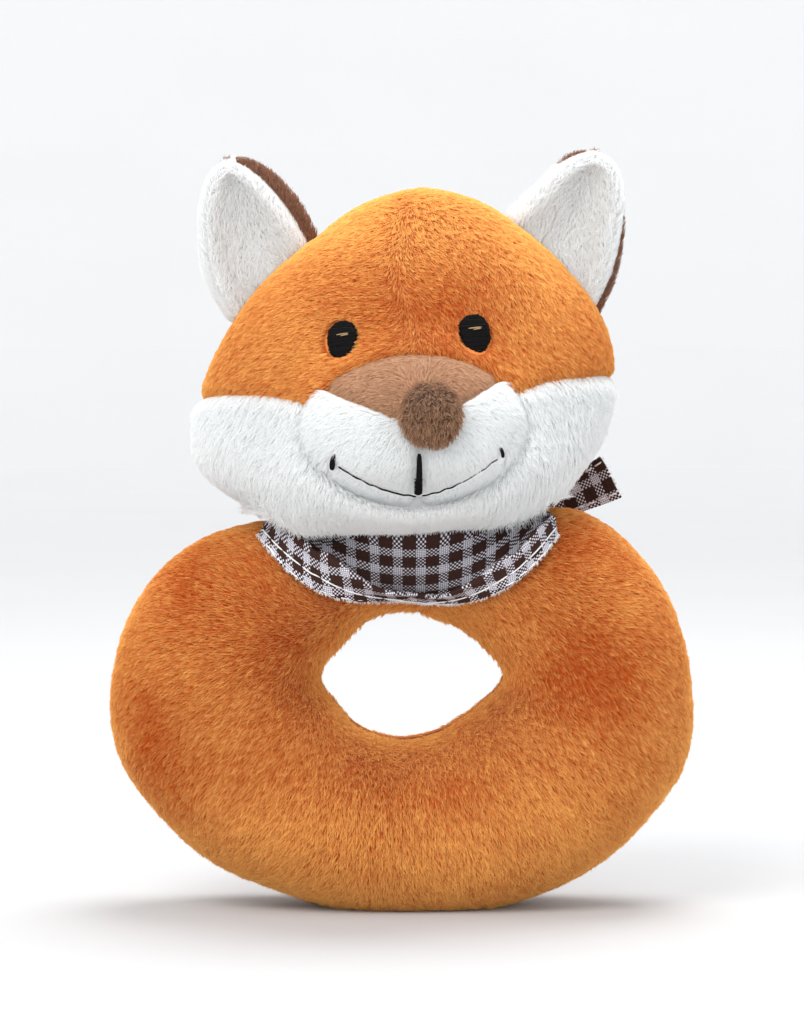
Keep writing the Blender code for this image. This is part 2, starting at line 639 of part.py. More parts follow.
def make_capsule(head):
    for name, side in (("capsule_cup", -1), ("capsule_lid", 1)):
        bm = ellipsoid_bm(CAPSULE_CENTRE, Vector((1, 1, 1)) * CAPSULE_RADIUS)
        keep_side(bm, CAPSULE_CENTRE + Vector((0, 0, side * PANEL_GAP / 2)), Vector((0, 0, side)))
        solidify(add_object(name, bm, (0.8, 0.8, 0.75), 0.4, head), CAPSULE_WALL)
    room = CAPSULE_RADIUS - CAPSULE_WALL - BEAD_RADIUS - BEAD_CLEARANCE
    drop = math.sqrt(room**2 - BEAD_CIRCLE**2)
    centre = head_to_world() @ CAPSULE_CENTRE
    for i in range(BEAD_COUNT):
        turn = math.tau * i / BEAD_COUNT
        place = centre + Vector((BEAD_CIRCLE * math.cos(turn), BEAD_CIRCLE * math.sin(turn), -drop))
        bead = ellipsoid_bm(Vector(), Vector((1, 1, 1)) * BEAD_RADIUS, 10, 7)
        made = add_object(f"bead_{i + 1}", bead, (0.7, 0.7, 0.65), 0.3)
        made.location = place


def head_to_world():
    turn = Euler((0.0, HEAD_TILT, HEAD_TURN)).to_matrix().to_4x4()
    return Matrix.Translation(HEAD_CENTRE) @ turn


# ---------------------------------------------------------------- kerchief


def bib_low_z(x):
    """Height of the bib's lower edge at x, on a smooth curve through its outline."""
    xs = np.array([p[0] for p in BIB_EDGE]) * MM
    zs = np.array([p[1] for p in BIB_EDGE]) * MM
    curve = np.polynomial.Polynomial.fit(xs, zs, 4)
    return float(curve(x))


def front_angles(x, z):
    """The angles round the hole and round the tube of a point on the ring's front."""
    theta = math.atan2(z - HOLE_Z, x - HOLE_X)
    middle, half_width, _ = ring_section(theta, -CLOTH_LIFT)
    across = (math.hypot(x - HOLE_X, z - HOLE_Z) - middle) / half_width
    across = max(-1.0, min(1.0, across))
    return theta, math.acos(signed_power(across, RING_ROUNDNESS / 2))


def cloth_edges(turn):
    """The inner and the outer edge of the cloth at an angle round the neck, front positive."""
    inner = (math.pi / 2 - NECK_HOLE[0] * math.cos(turn), NECK_HOLE[1] * math.sin(turn))
    left = BIB_EDGE[0][0] * MM
    right = BIB_EDGE[-1][0] * MM
    x = (left + right) / 2 + (right - left) / 2 * math.cos(turn)
    outer = front_angles(x, bib_low_z(x))
    if math.sin(turn) < 0:
        side = right if math.cos(turn) > 0 else left
        corner = front_angles(side, bib_low_z(side))
        spread = corner[0] - math.pi / 2
        behind = math.sin(turn) ** 2
        outer = (math.pi / 2 + spread * abs(math.cos(turn)), corner[1] + (BACK_EDGE - corner[1]) * behind)
    return inner, outer


def cloth_bm(lift):
    """An annulus round the neck, on the ring's surface."""
    around, across = CLOTH_SEGMENTS
    bm = bmesh.new()
    rows = []
    for i in range(around):
        inner, outer = cloth_edges(math.tau * i / around)
        row = []
        for j in range(across + 1):
            share = j / across
            theta = inner[0] + (outer[0] - inner[0]) * share
            phi = inner[1] + (outer[1] - inner[1]) * share
            row.append(bm.verts.new(ring_point(theta, phi, -lift)))
        rows.append(row)
    for row, following in zip(rows, rows[1:] + rows[:1]):
        for j in range(across):
            bm.faces.new((row[j], row[j + 1], following[j + 1], following[j]))
    return bm


def make_kerchief():
    cloth = add_object("kerchief", cloth_bm(CLOTH_LIFT), GINGHAM)
    forward = sum(face.normal.y * face.area for face in cloth.data.polygons if face.center.y < RING_Y) < 0
    solidify(cloth, CLOTH, 1.0 if forward else -1.0, even=False)
    lift = CLOTH_LIFT + CLOTH + GAP + THREAD_RADIUS
    hem = []
    for turn in np.linspace(*HEM_TURN, HEM_STEPS + 1):
        inner, outer = cloth_edges(turn)
        theta = outer[0] + (inner[0] - outer[0]) * HEM_INSET
        phi = outer[1] + (inner[1] - outer[1]) * HEM_INSET
        hem.append(ring_point(theta, phi, -lift))
    add_thread("kerchief_hem_thread", hem, HEM_THREAD_RADIUS, WHITE)
    add_object("kerchief_knot", ellipsoid_bm(KNOT_CENTRE, KNOT_HALF, 12, 8), GINGHAM)
    for name, route in TAILS.items():
        points = [Vector(point) * MM + Vector((0, RING_Y, 0)) for point in route]
        make_tail(f"kerchief_tail_{name}", points)


def make_tail(name, route):
    """A short ribbon of cloth through three points, wider at its cut end."""
    bm = bmesh.new()
    bmesh.ops.create_grid(bm, x_segments=3, y_segments=5, size=1.0)
    start, middle, end = route
    for vert in bm.verts:
        along = (vert.co.y + 1) / 2
        centre = start * (1 - along) ** 2 + middle * 2 * along * (1 - along) + end * along**2
        run = (middle - start) * (1 - along) + (end - middle) * along
        width = Vector((0, 1, 0)).cross(run).normalized()
        half = TAIL_HALF_WIDTH[0] + (TAIL_HALF_WIDTH[1] - TAIL_HALF_WIDTH[0]) * along
        vert.co = centre + width * half * vert.co.x
    tail = add_object(name, bm, GINGHAM)
    solidify(tail, CLOTH, 0.0)


def main():
    clear_scene()
    new_collection(COLLECTION)
    new_collection(CUTTERS)
    make_ring()
    make_neck_seam()
    head = head_axis()
    neck, muzzle = make_head_panels(head)
    make_head_stuffing(head, neck, muzzle)
    make_muzzle(head)
    make_nose(head)
    make_face(head)
    make_mouth(head)
    make_ears(head)
    make_capsule(head)
    make_kerchief()


main()
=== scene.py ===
"""Looks of the fox ring rattle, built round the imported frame.

Each plush panel is a fine skin that carries a combed pile of hair curves. The kerchief is woven gingham with
rolled, stitched edges, and the face is embroidered. Metres, +Z up, the face looks towards -Y.
"""

import itertools
import math

import bmesh
import bpy
import numpy as np
from mathutils import Euler, Matrix, Vector


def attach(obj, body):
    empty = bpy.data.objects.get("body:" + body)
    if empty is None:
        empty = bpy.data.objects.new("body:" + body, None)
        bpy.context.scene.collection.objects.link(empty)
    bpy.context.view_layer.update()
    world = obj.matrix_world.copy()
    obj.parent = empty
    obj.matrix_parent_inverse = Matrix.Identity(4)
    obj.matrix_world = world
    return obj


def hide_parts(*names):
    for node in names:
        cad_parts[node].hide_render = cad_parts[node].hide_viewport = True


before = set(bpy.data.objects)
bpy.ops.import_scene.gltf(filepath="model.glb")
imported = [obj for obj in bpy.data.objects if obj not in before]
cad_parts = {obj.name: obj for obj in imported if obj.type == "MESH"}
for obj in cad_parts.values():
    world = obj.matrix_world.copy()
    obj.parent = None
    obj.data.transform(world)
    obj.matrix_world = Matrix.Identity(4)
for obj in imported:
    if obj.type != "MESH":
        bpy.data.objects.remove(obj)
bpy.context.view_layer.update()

MM = 0.001
scene = bpy.context.scene

# ---------------------------------------------------------------- sizes, as in the CAD

RING_Y = 11.3 * MM  # the ring's seam plane
HOLE_X = 1.5 * MM
HOLE_Z = 43.1 * MM
# The ring's outlines about the hole's centre, in degrees and millimetres.
RING_OUTER = (
    (0, 52.0), (25, 48.7), (44, 43.6), (60, 34.2), (90, 29.4), (120, 33.4), (136, 40.4), (150, 47.2),
    (175, 55.0), (192, 56.2), (212, 53.2), (240, 46.9), (268, 45.0), (292, 46.5), (326, 51.2), (342, 54.0),
)
RING_INNER = (
    (0, 16.7), (24, 13.9), (60, 11.2), (95, 11.6), (128, 12.4), (156, 13.6), (182, 16.5), (204, 14.3),
    (229, 12.8), (262, 11.3), (300, 11.0), (335, 13.3),
)
RING_HALF_DEPTH = 18.5 * MM
NECK_HALF_DEPTH = 12.5 * MM
RING_ROUNDNESS = 2.2

HEAD_CENTRE = Vector((0.2 * MM, RING_Y - 2.0 * MM, 97.0 * MM))
HEAD_TURN = Euler((0, math.radians(-2.7), math.radians(3.5)))
HEAD_TO_WORLD = Matrix.Translation(HEAD_CENTRE) @ HEAD_TURN.to_matrix().to_4x4()
HEAD_HALF_WIDTH = 38.5 * MM
HEAD_FRONT_DEPTH = 25.0 * MM
HEAD_BACK_DEPTH = 23.0 * MM
HEAD_TOP = 36.0 * MM
HEAD_BOTTOM = 27.2 * MM
HEAD_TOP_POWER = 1.6  # superellipse exponents of the outline seen from the front
HEAD_BOTTOM_POWER = 3.0
HEAD_TOP_DEPTH_POWER = 2.0  # and of the outline seen from the side
HEAD_BOTTOM_DEPTH_POWER = 2.6
HEAD_SECTION_POWER = 2.25  # and of a level section
HEAD_LEAN = 0.14  # sideways shift of the outline for each unit of height
CHIN_PUSH = 8.0 * MM  # how far forward the chin leans
CHIN_CURVE = 1.6
CHEEK_LINE = -0.7 * MM  # the seam between crown and cheeks
BACK_SEAM_Y = 4.0 * MM
NECK_CUT_Z = -21.6 * MM
CHIN_FRONT_Y = -15.0 * MM  # behind this the head ends at the neck

MUZZLE_CENTRE = np.array((0.0, -22.5, -8.2)) * MM
MUZZLE_HALF = np.array((20.5, 14.0, 14.6)) * MM
MUZZLE_BACK_Y = -19.5 * MM
BRIDGE_LOW_Z = -6.6 * MM  # lowest point of the bridge's V-shaped lower edge
BRIDGE_SLOPE = math.radians(26)
NOSE_CENTRE = np.array((2.2, -37.8, -4.6)) * MM
NOSE_HALF = np.array((6.1, 4.6, 6.6)) * MM
EYE_X = 11.9 * MM
EYE_Z = 9.1 * MM
EYE_HALF = np.array((2.85, 0.65, 3.5)) * MM
MOUTH_HALF_WIDTH = 14.6 * MM
MOUTH_CORNER_Z = -12.9 * MM
MOUTH_LOW_Z = -19.2 * MM
MOUTH_CURVE = 1.7  # exponent of the smile's curve
EAR_BASE_Y = 1.0 * MM

# Kerchief: the lower edge of its bib is x and z in millimetres, its other edges are angles on the ring.
BIB_EDGE = (
    (-26.0, 69.4), (-19.0, 62.3), (-10.7, 57.9), (0.5, 56.4), (9.0, 57.0), (19.0, 60.6), (28.0, 69.6),
)
NECK_HOLE = (math.radians(30), math.radians(52))  # half angles of the inner edge
BACK_EDGE = math.radians(-88)  # lowest point of the cloth behind the neck
KNOT_CENTRE = np.array((13.5, 11.3 + 14.9, 70.4)) * MM
KNOT_HALF = np.array((3.8, 2.8, 3.4)) * MM
TAILS = {  # from the knot to the cut end: x, distance behind the ring's seam plane, and z in millimetres
    "upper": ((18.2, 15.2, 71.4), (30.0, 15.6, 74.0), (38.9, 10.6, 79.2)),
    "lower": ((15.2, 18.2, 67.0), (17.5, 20.2, 61.0), (18.6, 20.6, 53.0)),
}

# ---------------------------------------------------------------- sizes that only the looks have

# Outlines from base to tip, x and z in millimetres about the head's centre, and how wide the back panel
# shows beside each of them.
EARS = {
    "left": {
        "outer": ((-30.8, 12.8), (-34.9, 21.2), (-35.7, 32.0), (-34.0, 39.0), (-30.3, 42.3)),
        "inner": ((-14.8, 27.7), (-18.3, 34.6), (-22.8, 39.7), (-26.8, 42.0), (-30.3, 42.3)),
        "rims": ((2.3, 2.6, 2.5, 2.4, 2.4), (0.0, 0.0, 0.0, 0.0, 0.3)),
    },
    "right": {
        "outer": ((36.2, 10.6), (40.4, 19.3), (42.3, 31.0), (41.2, 37.6), (37.6, 40.6)),
        "inner": ((20.6, 29.6), (25.6, 33.8), (30.2, 38.0), (33.8, 40.3), (37.6, 40.6)),
        "rims": ((0.0, 0.0, 0.2, 1.2, 1.9), (1.3, 1.2, 0.2, 0.0, 0.5)),
    },
}
PHILTRUM_Z = (-11.5 * MM, -18.6 * MM)  # top and bottom
CORNER_X = 15.1 * MM  # the upright stitch at each corner of the mouth
CORNER_Z = -12.5 * MM

CHECK = 4.2 * MM  # repeat of the gingham
DYED_SHARE = 0.59  # of each repeat, brown
YARN = 0.39 * MM  # spacing of its threads
COLLAR = 3.6 * MM  # how far the kerchief stands up round the neck
BIB_DRAWN_UP = 1.5 * MM  # at the middle of its edge, where the two rolled edges meet
SEAM_OVERLAP = 0.03 * MM  # a panel reaches this far past its seam, under its neighbour
RING_PILE = 1.1 * MM  # how far the skin lies under the outline, which the pile fills
MUZZLE_GIVE = 2.2 * MM  # how far the muzzle's soft lower half lies back
HAIR_POINTS = 4
HAIR_RADII = np.array((0.07, 0.065, 0.045, 0.012)) * 0.8 * MM  # from root to tip
# Painted shade darkens each hair's root and painted sheen lightens its tip.
PAINTED_ROOT_SHADE_TIP_SHEEN = np.array((-0.30, -0.12, 0.10, 0.32))  # added to the hair's own tone, from root to tip
PILE_TONE = 0.36  # mean tone of a pile between its dark and its light colour


# ---------------------------------------------------------------- camera, light and floor


def look_at(obj, target):
    obj.rotation_euler = (Vector(target) - obj.location).to_track_quat("-Z", "Y").to_euler()


def add_camera():
    distance = 0.9
    elevation = math.radians(3.0)
    aim = Vector((-0.1 * MM, 10 * MM, 73.3 * MM))
    data = bpy.data.cameras.new("camera")
    data.sensor_width = 36.0
    data.lens = 171.0
    data.clip_start = 0.05
    camera = bpy.data.objects.new("camera", data)
    camera.location = aim + Vector((0, -math.cos(elevation), math.sin(elevation))) * distance
    look_at(camera, aim)
    scene.collection.objects.link(camera)
    scene.camera = camera


def add_area(name, location, target, size, power, colour=(1, 1, 1)):
    data = bpy.data.lights.new(name, "AREA")
    data.shape = "DISK"
    data.size = size
    data.energy = power
    data.color = colour
    light = bpy.data.objects.new(name, data)
    light.location = location
    scene.collection.objects.link(light)
    look_at(light, target)


def add_light():
    world = bpy.data.worlds.new("studio")
    scene.world = world
    world.use_nodes = True
    world.node_tree.nodes["Background"].inputs["Color"].default_value = (0.93, 0.96, 1.0, 1)
    world.node_tree.nodes["Background"].inputs["Strength"].default_value = 1.0
    add_area("key", (-0.45, -0.75, 0.85), (0, 0, 0.07), 0.7, 9.2, (1.0, 0.98, 0.95))
    add_area("fill", (0.9, -0.6, 0.4), (0, 0, 0.07), 0.9, 2.2)
    add_area("low", (-0.1, -0.9, 0.17), (0, 0, 0.07), 0.3, 1.5)
    add_area("top", (0.1, 0.2, 0.8), (0, 0, 0.1), 0.5, 5.0)
    scene.view_settings.view_transform = "Standard"
    scene.view_settings.exposure = 0.0


# ---------------------------------------------------------------- node materials


class Tree:
    """A material's node tree, built with short calls."""

    def __init__(self, name):
        self.material = bpy.data.materials.new(name)
        self.material.use_nodes = True
        self.tree = self.material.node_tree
        self.shader = self.tree.nodes["Principled BSDF"]

    def add(self, kind, inputs=None, **settings):
        node = self.tree.nodes.new("ShaderNode" + kind)
        for key, value in settings.items():
            setattr(node, key, value)
        for key, value in (inputs or {}).items():
            self.put(node.inputs[key], value)
        return node

    def put(self, socket, value):
        if isinstance(value, bpy.types.NodeSocket):
            self.tree.links.new(value, socket)
        else:
            socket.default_value = value

    def math(self, operation, *values):
        return self.add("Math", dict(enumerate(values)), operation=operation).outputs[0]

    def mix(self, factor, first, second):
        node = self.add("Mix", data_type="RGBA")
        self.put(node.inputs[0], factor)
        self.put(node.inputs[6], first)
        self.put(node.inputs[7], second)
        return node.outputs[2]

    def blend(self, factor, first, second):
        node = self.add("Mix", {0: factor, 2: first, 3: second}, data_type="FLOAT")
        return node.outputs[0]

    def noise(self, scale, detail=4.0):
        place = self.add("TexCoord").outputs["Object"]
        return self.add("TexNoise", {"Vector": place, "Scale": scale, "Detail": detail}).outputs["Fac"]

    def bump(self, height, strength, distance):
        inputs = {"Height": height, "Strength": strength, "Distance": distance}
        self.put(self.shader.inputs["Normal"], self.add("Bump", inputs).outputs["Normal"])

    def surface(self, **values):
        names = {
            "colour": "Base Color", "roughness": "Roughness", "sheen": "Sheen Weight",
            "specular": "Specular IOR Level",
        }
        for key, value in values.items():
            self.put(self.shader.inputs[names[key]], value)
        return self.material


def rgba(colour):
    return (*colour, 1.0)


def spread(tree, value, low, high):
    """Stretches the middle of a noise to the whole range from 0 to 1."""
    made = tree.add("MapRange", {"Value": value, "From Min": low, "From Max": high})
    return made.outputs["Result"]


def skin_material(name, dark, light):
    """The plush fabric under the pile: soft patches of tone and a fine grain."""
    tree = Tree(name)
    patches = spread(tree, tree.noise(55.0), 0.3, 0.7)
    grain = tree.noise(1400.0, 3.0)
    colour = tree.mix(patches, rgba(dark), rgba(light))
    colour = tree.mix(tree.math("MULTIPLY", grain, 0.5), colour, rgba(dark))
    tree.bump(grain, 0.6, 0.3 * MM)
    return tree.surface(colour=colour, roughness=0.9, sheen=0.3)


def pile_material(name, dark, light, sheen=0.3, glow=0.3):
    """Dyed fibres that let a share of the light, glow, through; tone, with painted light and shade, goes
    from root to tip.
    """
    tree = Tree(name)
    tone = tree.add("Attribute", attribute_name="tone").outputs["Fac"]
    tree.shader.inputs["Sheen Roughness"].default_value = 0.5
    colour = tree.mix(tone, rgba(dark), rgba(light))
    through = tree.add("BsdfTranslucent", {"Color": colour})
    blend = tree.add("MixShader", {"Fac": glow})
    tree.tree.links.new(tree.shader.outputs[0], blend.inputs[1])
    tree.tree.links.new(through.outputs[0], blend.inputs[2])
    tree.tree.links.new(blend.outputs[0], tree.tree.nodes["Material Output"].inputs["Surface"])
    return tree.surface(colour=colour, roughness=0.8, sheen=sheen, specular=0.25)


def thread_material(name, colour, darker, roughness=0.55, sheen=0.2, specular=0.5):
    tree = Tree(name)
    fibres = tree.noise(4000.0, 2.0)
    tree.bump(fibres, 0.5, 0.05 * MM)
    mixed = tree.mix(fibres, rgba(darker), rgba(colour))
    return tree.surface(colour=mixed, roughness=roughness, sheen=sheen, specular=specular)


def gingham_material():
    """Plain weave of yarn-dyed threads: the attribute cloth holds the place along the warp and the weft, and
    painted shade.
    """
    tree = Tree("gingham_weave")
    cloth = tree.add("Attribute", attribute_name="cloth").outputs["Vector"]
    axes = tree.add("SeparateXYZ", {"Vector": cloth})
    heights = []
    dyed = []
    crossing = []
    for axis in ("X", "Y"):
        at = axes.outputs[axis]
        dyed.append(tree.math("LESS_THAN", tree.math("FRACT", tree.math("DIVIDE", at, CHECK)), DYED_SHARE))
        yarns = tree.math("DIVIDE", at, YARN)
        crossing.append(tree.math("FLOOR", yarns))
        centre = tree.math("ABSOLUTE", tree.math("SUBTRACT", tree.math("FRACT", yarns), 0.5))
        heights.append(tree.math("COSINE", tree.math("MULTIPLY", centre, math.pi)))
    over = tree.math("FRACT", tree.math("MULTIPLY", tree.math("ADD", *crossing), 0.5))
    warp_over = tree.math("GREATER_THAN", over, 0.25)
    uneven = tree.noise(900.0, 3.0)
    brown = tree.mix(uneven, (0.026, 0.009, 0.006, 1), (0.060, 0.022, 0.015, 1))
    white = tree.mix(uneven, (0.64, 0.63, 0.72, 1), (0.86, 0.85, 0.92, 1))
    colour = tree.mix(tree.blend(warp_over, dyed[1], dyed[0]), white, brown)
    gaps = tree.math("MULTIPLY", heights[0], heights[1])
    colour = tree.mix(tree.math("POWER", gaps, 0.5), (0.03, 0.014, 0.012, 1), colour)
    # Painted shade: the third value of cloth darkens the weave, most in the bib's recessed pocket.
    colour = tree.mix(axes.outputs["Z"], colour, tree.mix(0.4, colour, (0.02, 0.008, 0.006, 1)))
    tree.bump(tree.blend(warp_over, heights[1], heights[0]), 0.7, 0.09 * MM)
    return tree.surface(colour=colour, roughness=0.9, specular=0.2)


def fibre_material():
    tree = Tree("polyester_wool")
    strands = tree.noise(2600.0, 8.0)
    tree.bump(strands, 0.8, 0.4 * MM)
    colour = tree.mix(strands, (0.62, 0.62, 0.6, 1), (0.92, 0.92, 0.9, 1))
    return tree.surface(colour=colour, roughness=0.95, sheen=0.4)


def plastic_material(name, colour, shade, roughness):
    tree = Tree(name)
    flow = tree.noise(120.0, 2.0)
    tree.bump(tree.noise(3000.0, 2.0), 0.1, 0.02 * MM)
    return tree.surface(colour=tree.mix(flow, rgba(shade), rgba(colour)), roughness=roughness)


def floor_material():
    tree = Tree("grey_floor_painted_glow")
    mottled = tree.noise(9.0, 6.0)
    tree.bump(tree.noise(160.0, 6.0), 0.15, 0.4 * MM)
    colour = tree.mix(mottled, (0.50, 0.50, 0.50, 1), (0.54, 0.54, 0.54, 1))
    # Painted light: the floor glows, more the farther out it reaches, so that its upswept edge stays pale.
    reach = tree.add("VectorMath", {0: tree.add("TexCoord").outputs["Object"]}, operation="LENGTH")
    painted_glow = tree.math("POWER", spread(tree, reach.outputs["Value"], 0.1, 2.4), 0.6)
    tree.put(tree.shader.inputs["Emission Color"], (0.97, 0.985, 1.0, 1))
    tree.put(tree.shader.inputs["Emission Strength"], tree.math("MULTIPLY", painted_glow, 0.42))
    return tree.surface(colour=colour, roughness=0.8)


def add_floor():
    """A disc whose edge sweeps up, so that the surround is pale from every side, helped by a painted glow.
    """
    flat, bend, top = 1.6, 0.9, 2.6
    rise = np.radians(np.linspace(0, 90, 13)[1:])
    reach = np.concatenate([(0.0, 1.0, flat), flat + bend * np.sin(rise), (flat + bend,)])
    height = np.concatenate([(0.0, 0.0, 0.0), bend * (1 - np.cos(rise)), (top,)])
    turn = np.linspace(0, math.tau, 96, endpoint=False)[:, None]
    grid = np.stack([reach * np.cos(turn), reach * np.sin(turn), height + 0 * turn], -1)
    mesh = grid_mesh("floor", grid, closed=True)
    mesh.materials.append(floor_material())
    floor = bpy.data.objects.new("floor", mesh)
    scene.collection.objects.link(floor)


# ---------------------------------------------------------------- mesh helpers


def noise(points, size, seed):
    """Smooth noise from -1 to 1 at the points, in blobs about size across."""
    place = np.asarray(points) / size + seed * 3.17
    cell = np.floor(place).astype(np.int64)
    part = place - cell
    part = part * part * (3 - 2 * part)
    total = np.zeros(len(place))
    for corner in itertools.product((0, 1), repeat=3):
        at = cell + corner
        mixed = at[:, 0] * 374761393 + at[:, 1] * 668265263 + at[:, 2] * 2147483629 + seed * 1442695041
        mixed = ((mixed ^ (mixed >> 13)) * 1274126177) & 0xFFFFFFFF
        value = ((mixed ^ (mixed >> 16)) & 0xFFFF) / 32767.5 - 1
        total += value * np.prod(np.where(corner, part, 1 - part), axis=1)
    return total


def noise_over(size, seed, *axes):
    """The noise over one to three arrays of coordinates, in their shape."""
    axes = (*axes, 0 * axes[0], 0 * axes[0])[:3]
    return noise(np.stack(axes, -1).reshape(-1, 3), size, seed).reshape(axes[0].shape)


def swirl(place, size, seeds, axes=(0, 2)):
    """A slow sideways drift of the nap along some of the axes."""
    drift = np.zeros((len(place), 3))
    for axis, seed in zip(axes, seeds):
        drift[:, axis] = noise(place, size, seed)
    return drift


def bell(offset, width, second=0.0, second_width=1.0):
    """1 at offset 0 and falling off smoothly over the width, and over a second direction's."""
    return np.exp(-((offset / width) ** 2) - (second / second_width) ** 2)


def signed_power(value, power):
    return np.sign(value) * np.abs(value) ** power


def smooth(value, low, high):
    """0 below low, 1 above high, and smooth between them."""
    part = np.clip((value - low) / (high - low), 0, 1)
    return part * part * (3 - 2 * part)


def unit(vectors):
    return vectors / np.maximum(np.linalg.norm(vectors, axis=-1, keepdims=True), 1e-12)


def grid_mesh(name, points, closed=False):
    """A mesh through a grid of points; closed joins the last row to the first."""
    rows, columns = points.shape[:2]
    index = np.arange(rows * columns).reshape(rows, columns)
    if closed:
        index = np.vstack([index, index[:1]])
    faces = np.stack([index[:-1, :-1], index[1:, :-1], index[1:, 1:], index[:-1, 1:]], -1).reshape(-1, 4)
    mesh = bpy.data.meshes.new(name)
    mesh.from_pydata(points.reshape(-1, 3), [], faces)
    return mesh


def coords(mesh):
    found = np.empty(len(mesh.vertices) * 3)
    mesh.vertices.foreach_get("co", found)
    return found.reshape(-1, 3)


def set_coords(mesh, points):
    mesh.vertices.foreach_set("co", np.ascontiguousarray(points, float).ravel())
    mesh.update()


def normals(mesh):
    found = np.empty(len(mesh.vertices) * 3, np.float32)
    mesh.vertex_normals.foreach_get("vector", found)
    return found.reshape(-1, 3).astype(float)


def moved(points, matrix):
    turn = np.array(matrix.to_3x3())
    return points @ turn.T + np.array(matrix.translation)


def to_head(points):
    return moved(points, HEAD_TO_WORLD.inverted())


def head_to_world(points):
    return moved(points, HEAD_TO_WORLD)


def face_outwards(mesh, centre):
    """Turns the faces so that they look away from the centre."""
    away = coords(mesh) - centre
    if (normals(mesh) * away).sum() < 0:
        mesh.flip_normals()


def add_piece(name, mesh, material, body, replaces=()):
    mesh.materials.clear()
    mesh.materials.append(material)
    mesh.shade_smooth()
    piece = bpy.data.objects.new(name, mesh)
    scene.collection.objects.link(piece)
    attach(piece, body)
    if replaces:
        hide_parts(*replaces)
    return piece


def tube_mesh(name, paths, radii, sides=6):
    """One mesh of round tubes with closed ends, one along each path."""
    points = []
    faces = []
    ring = np.linspace(0, math.tau, sides, endpoint=False)
    for path, radius in zip(paths, radii):
        path = np.asarray(path, float)
        along = unit(np.gradient(path, axis=0))
        side = np.zeros(3)
        side[np.argmin(np.abs(along.sum(0)))] = 1.0
        across = unit(np.cross(along, side))
        upward = np.cross(along, across)
        width = radius * np.ones(len(path))
        width[[0, -1]] *= 0.45
        circle = across[:, None] * np.cos(ring)[:, None] + upward[:, None] * np.sin(ring)[:, None]
        first = sum(len(p) for p in points)
        points.append((path[:, None] + circle * width[:, None, None]).reshape(-1, 3))
        index = first + np.arange(len(path) * sides).reshape(len(path), sides)
        turned = np.roll(index, -1, axis=1)
        quads = np.stack([index[:-1], turned[:-1], turned[1:], index[1:]], -1).reshape(-1, 4)
        faces += quads.tolist()
        faces.append(index[0, ::-1].tolist())
        faces.append(index[-1].tolist())
    mesh = bpy.data.meshes.new(name)
    mesh.from_pydata(np.concatenate(points), [], faces)
    bm = bmesh.new()
    bm.from_mesh(mesh)
    bmesh.ops.recalc_face_normals(bm, faces=bm.faces)
    bm.to_mesh(mesh)
    bm.free()
    return mesh


# ---------------------------------------------------------------- pile


def clump_means(points, size):
    """For each point, the mean of all the points in its cell of a grid."""
    cells = np.floor(points / size).astype(np.int64)
    cells -= cells.min(0)
    spans = cells.max(0) + 1
    key = (cells[:, 0] * spans[1] + cells[:, 1]) * spans[2] + cells[:, 2]
    _, member, count = np.unique(key, return_inverse=True, return_counts=True)
    member = member.reshape(-1)
    means = np.stack([np.bincount(member, points[:, axis]) for axis in range(3)], -1) / count[:, None]
    return means[member], member


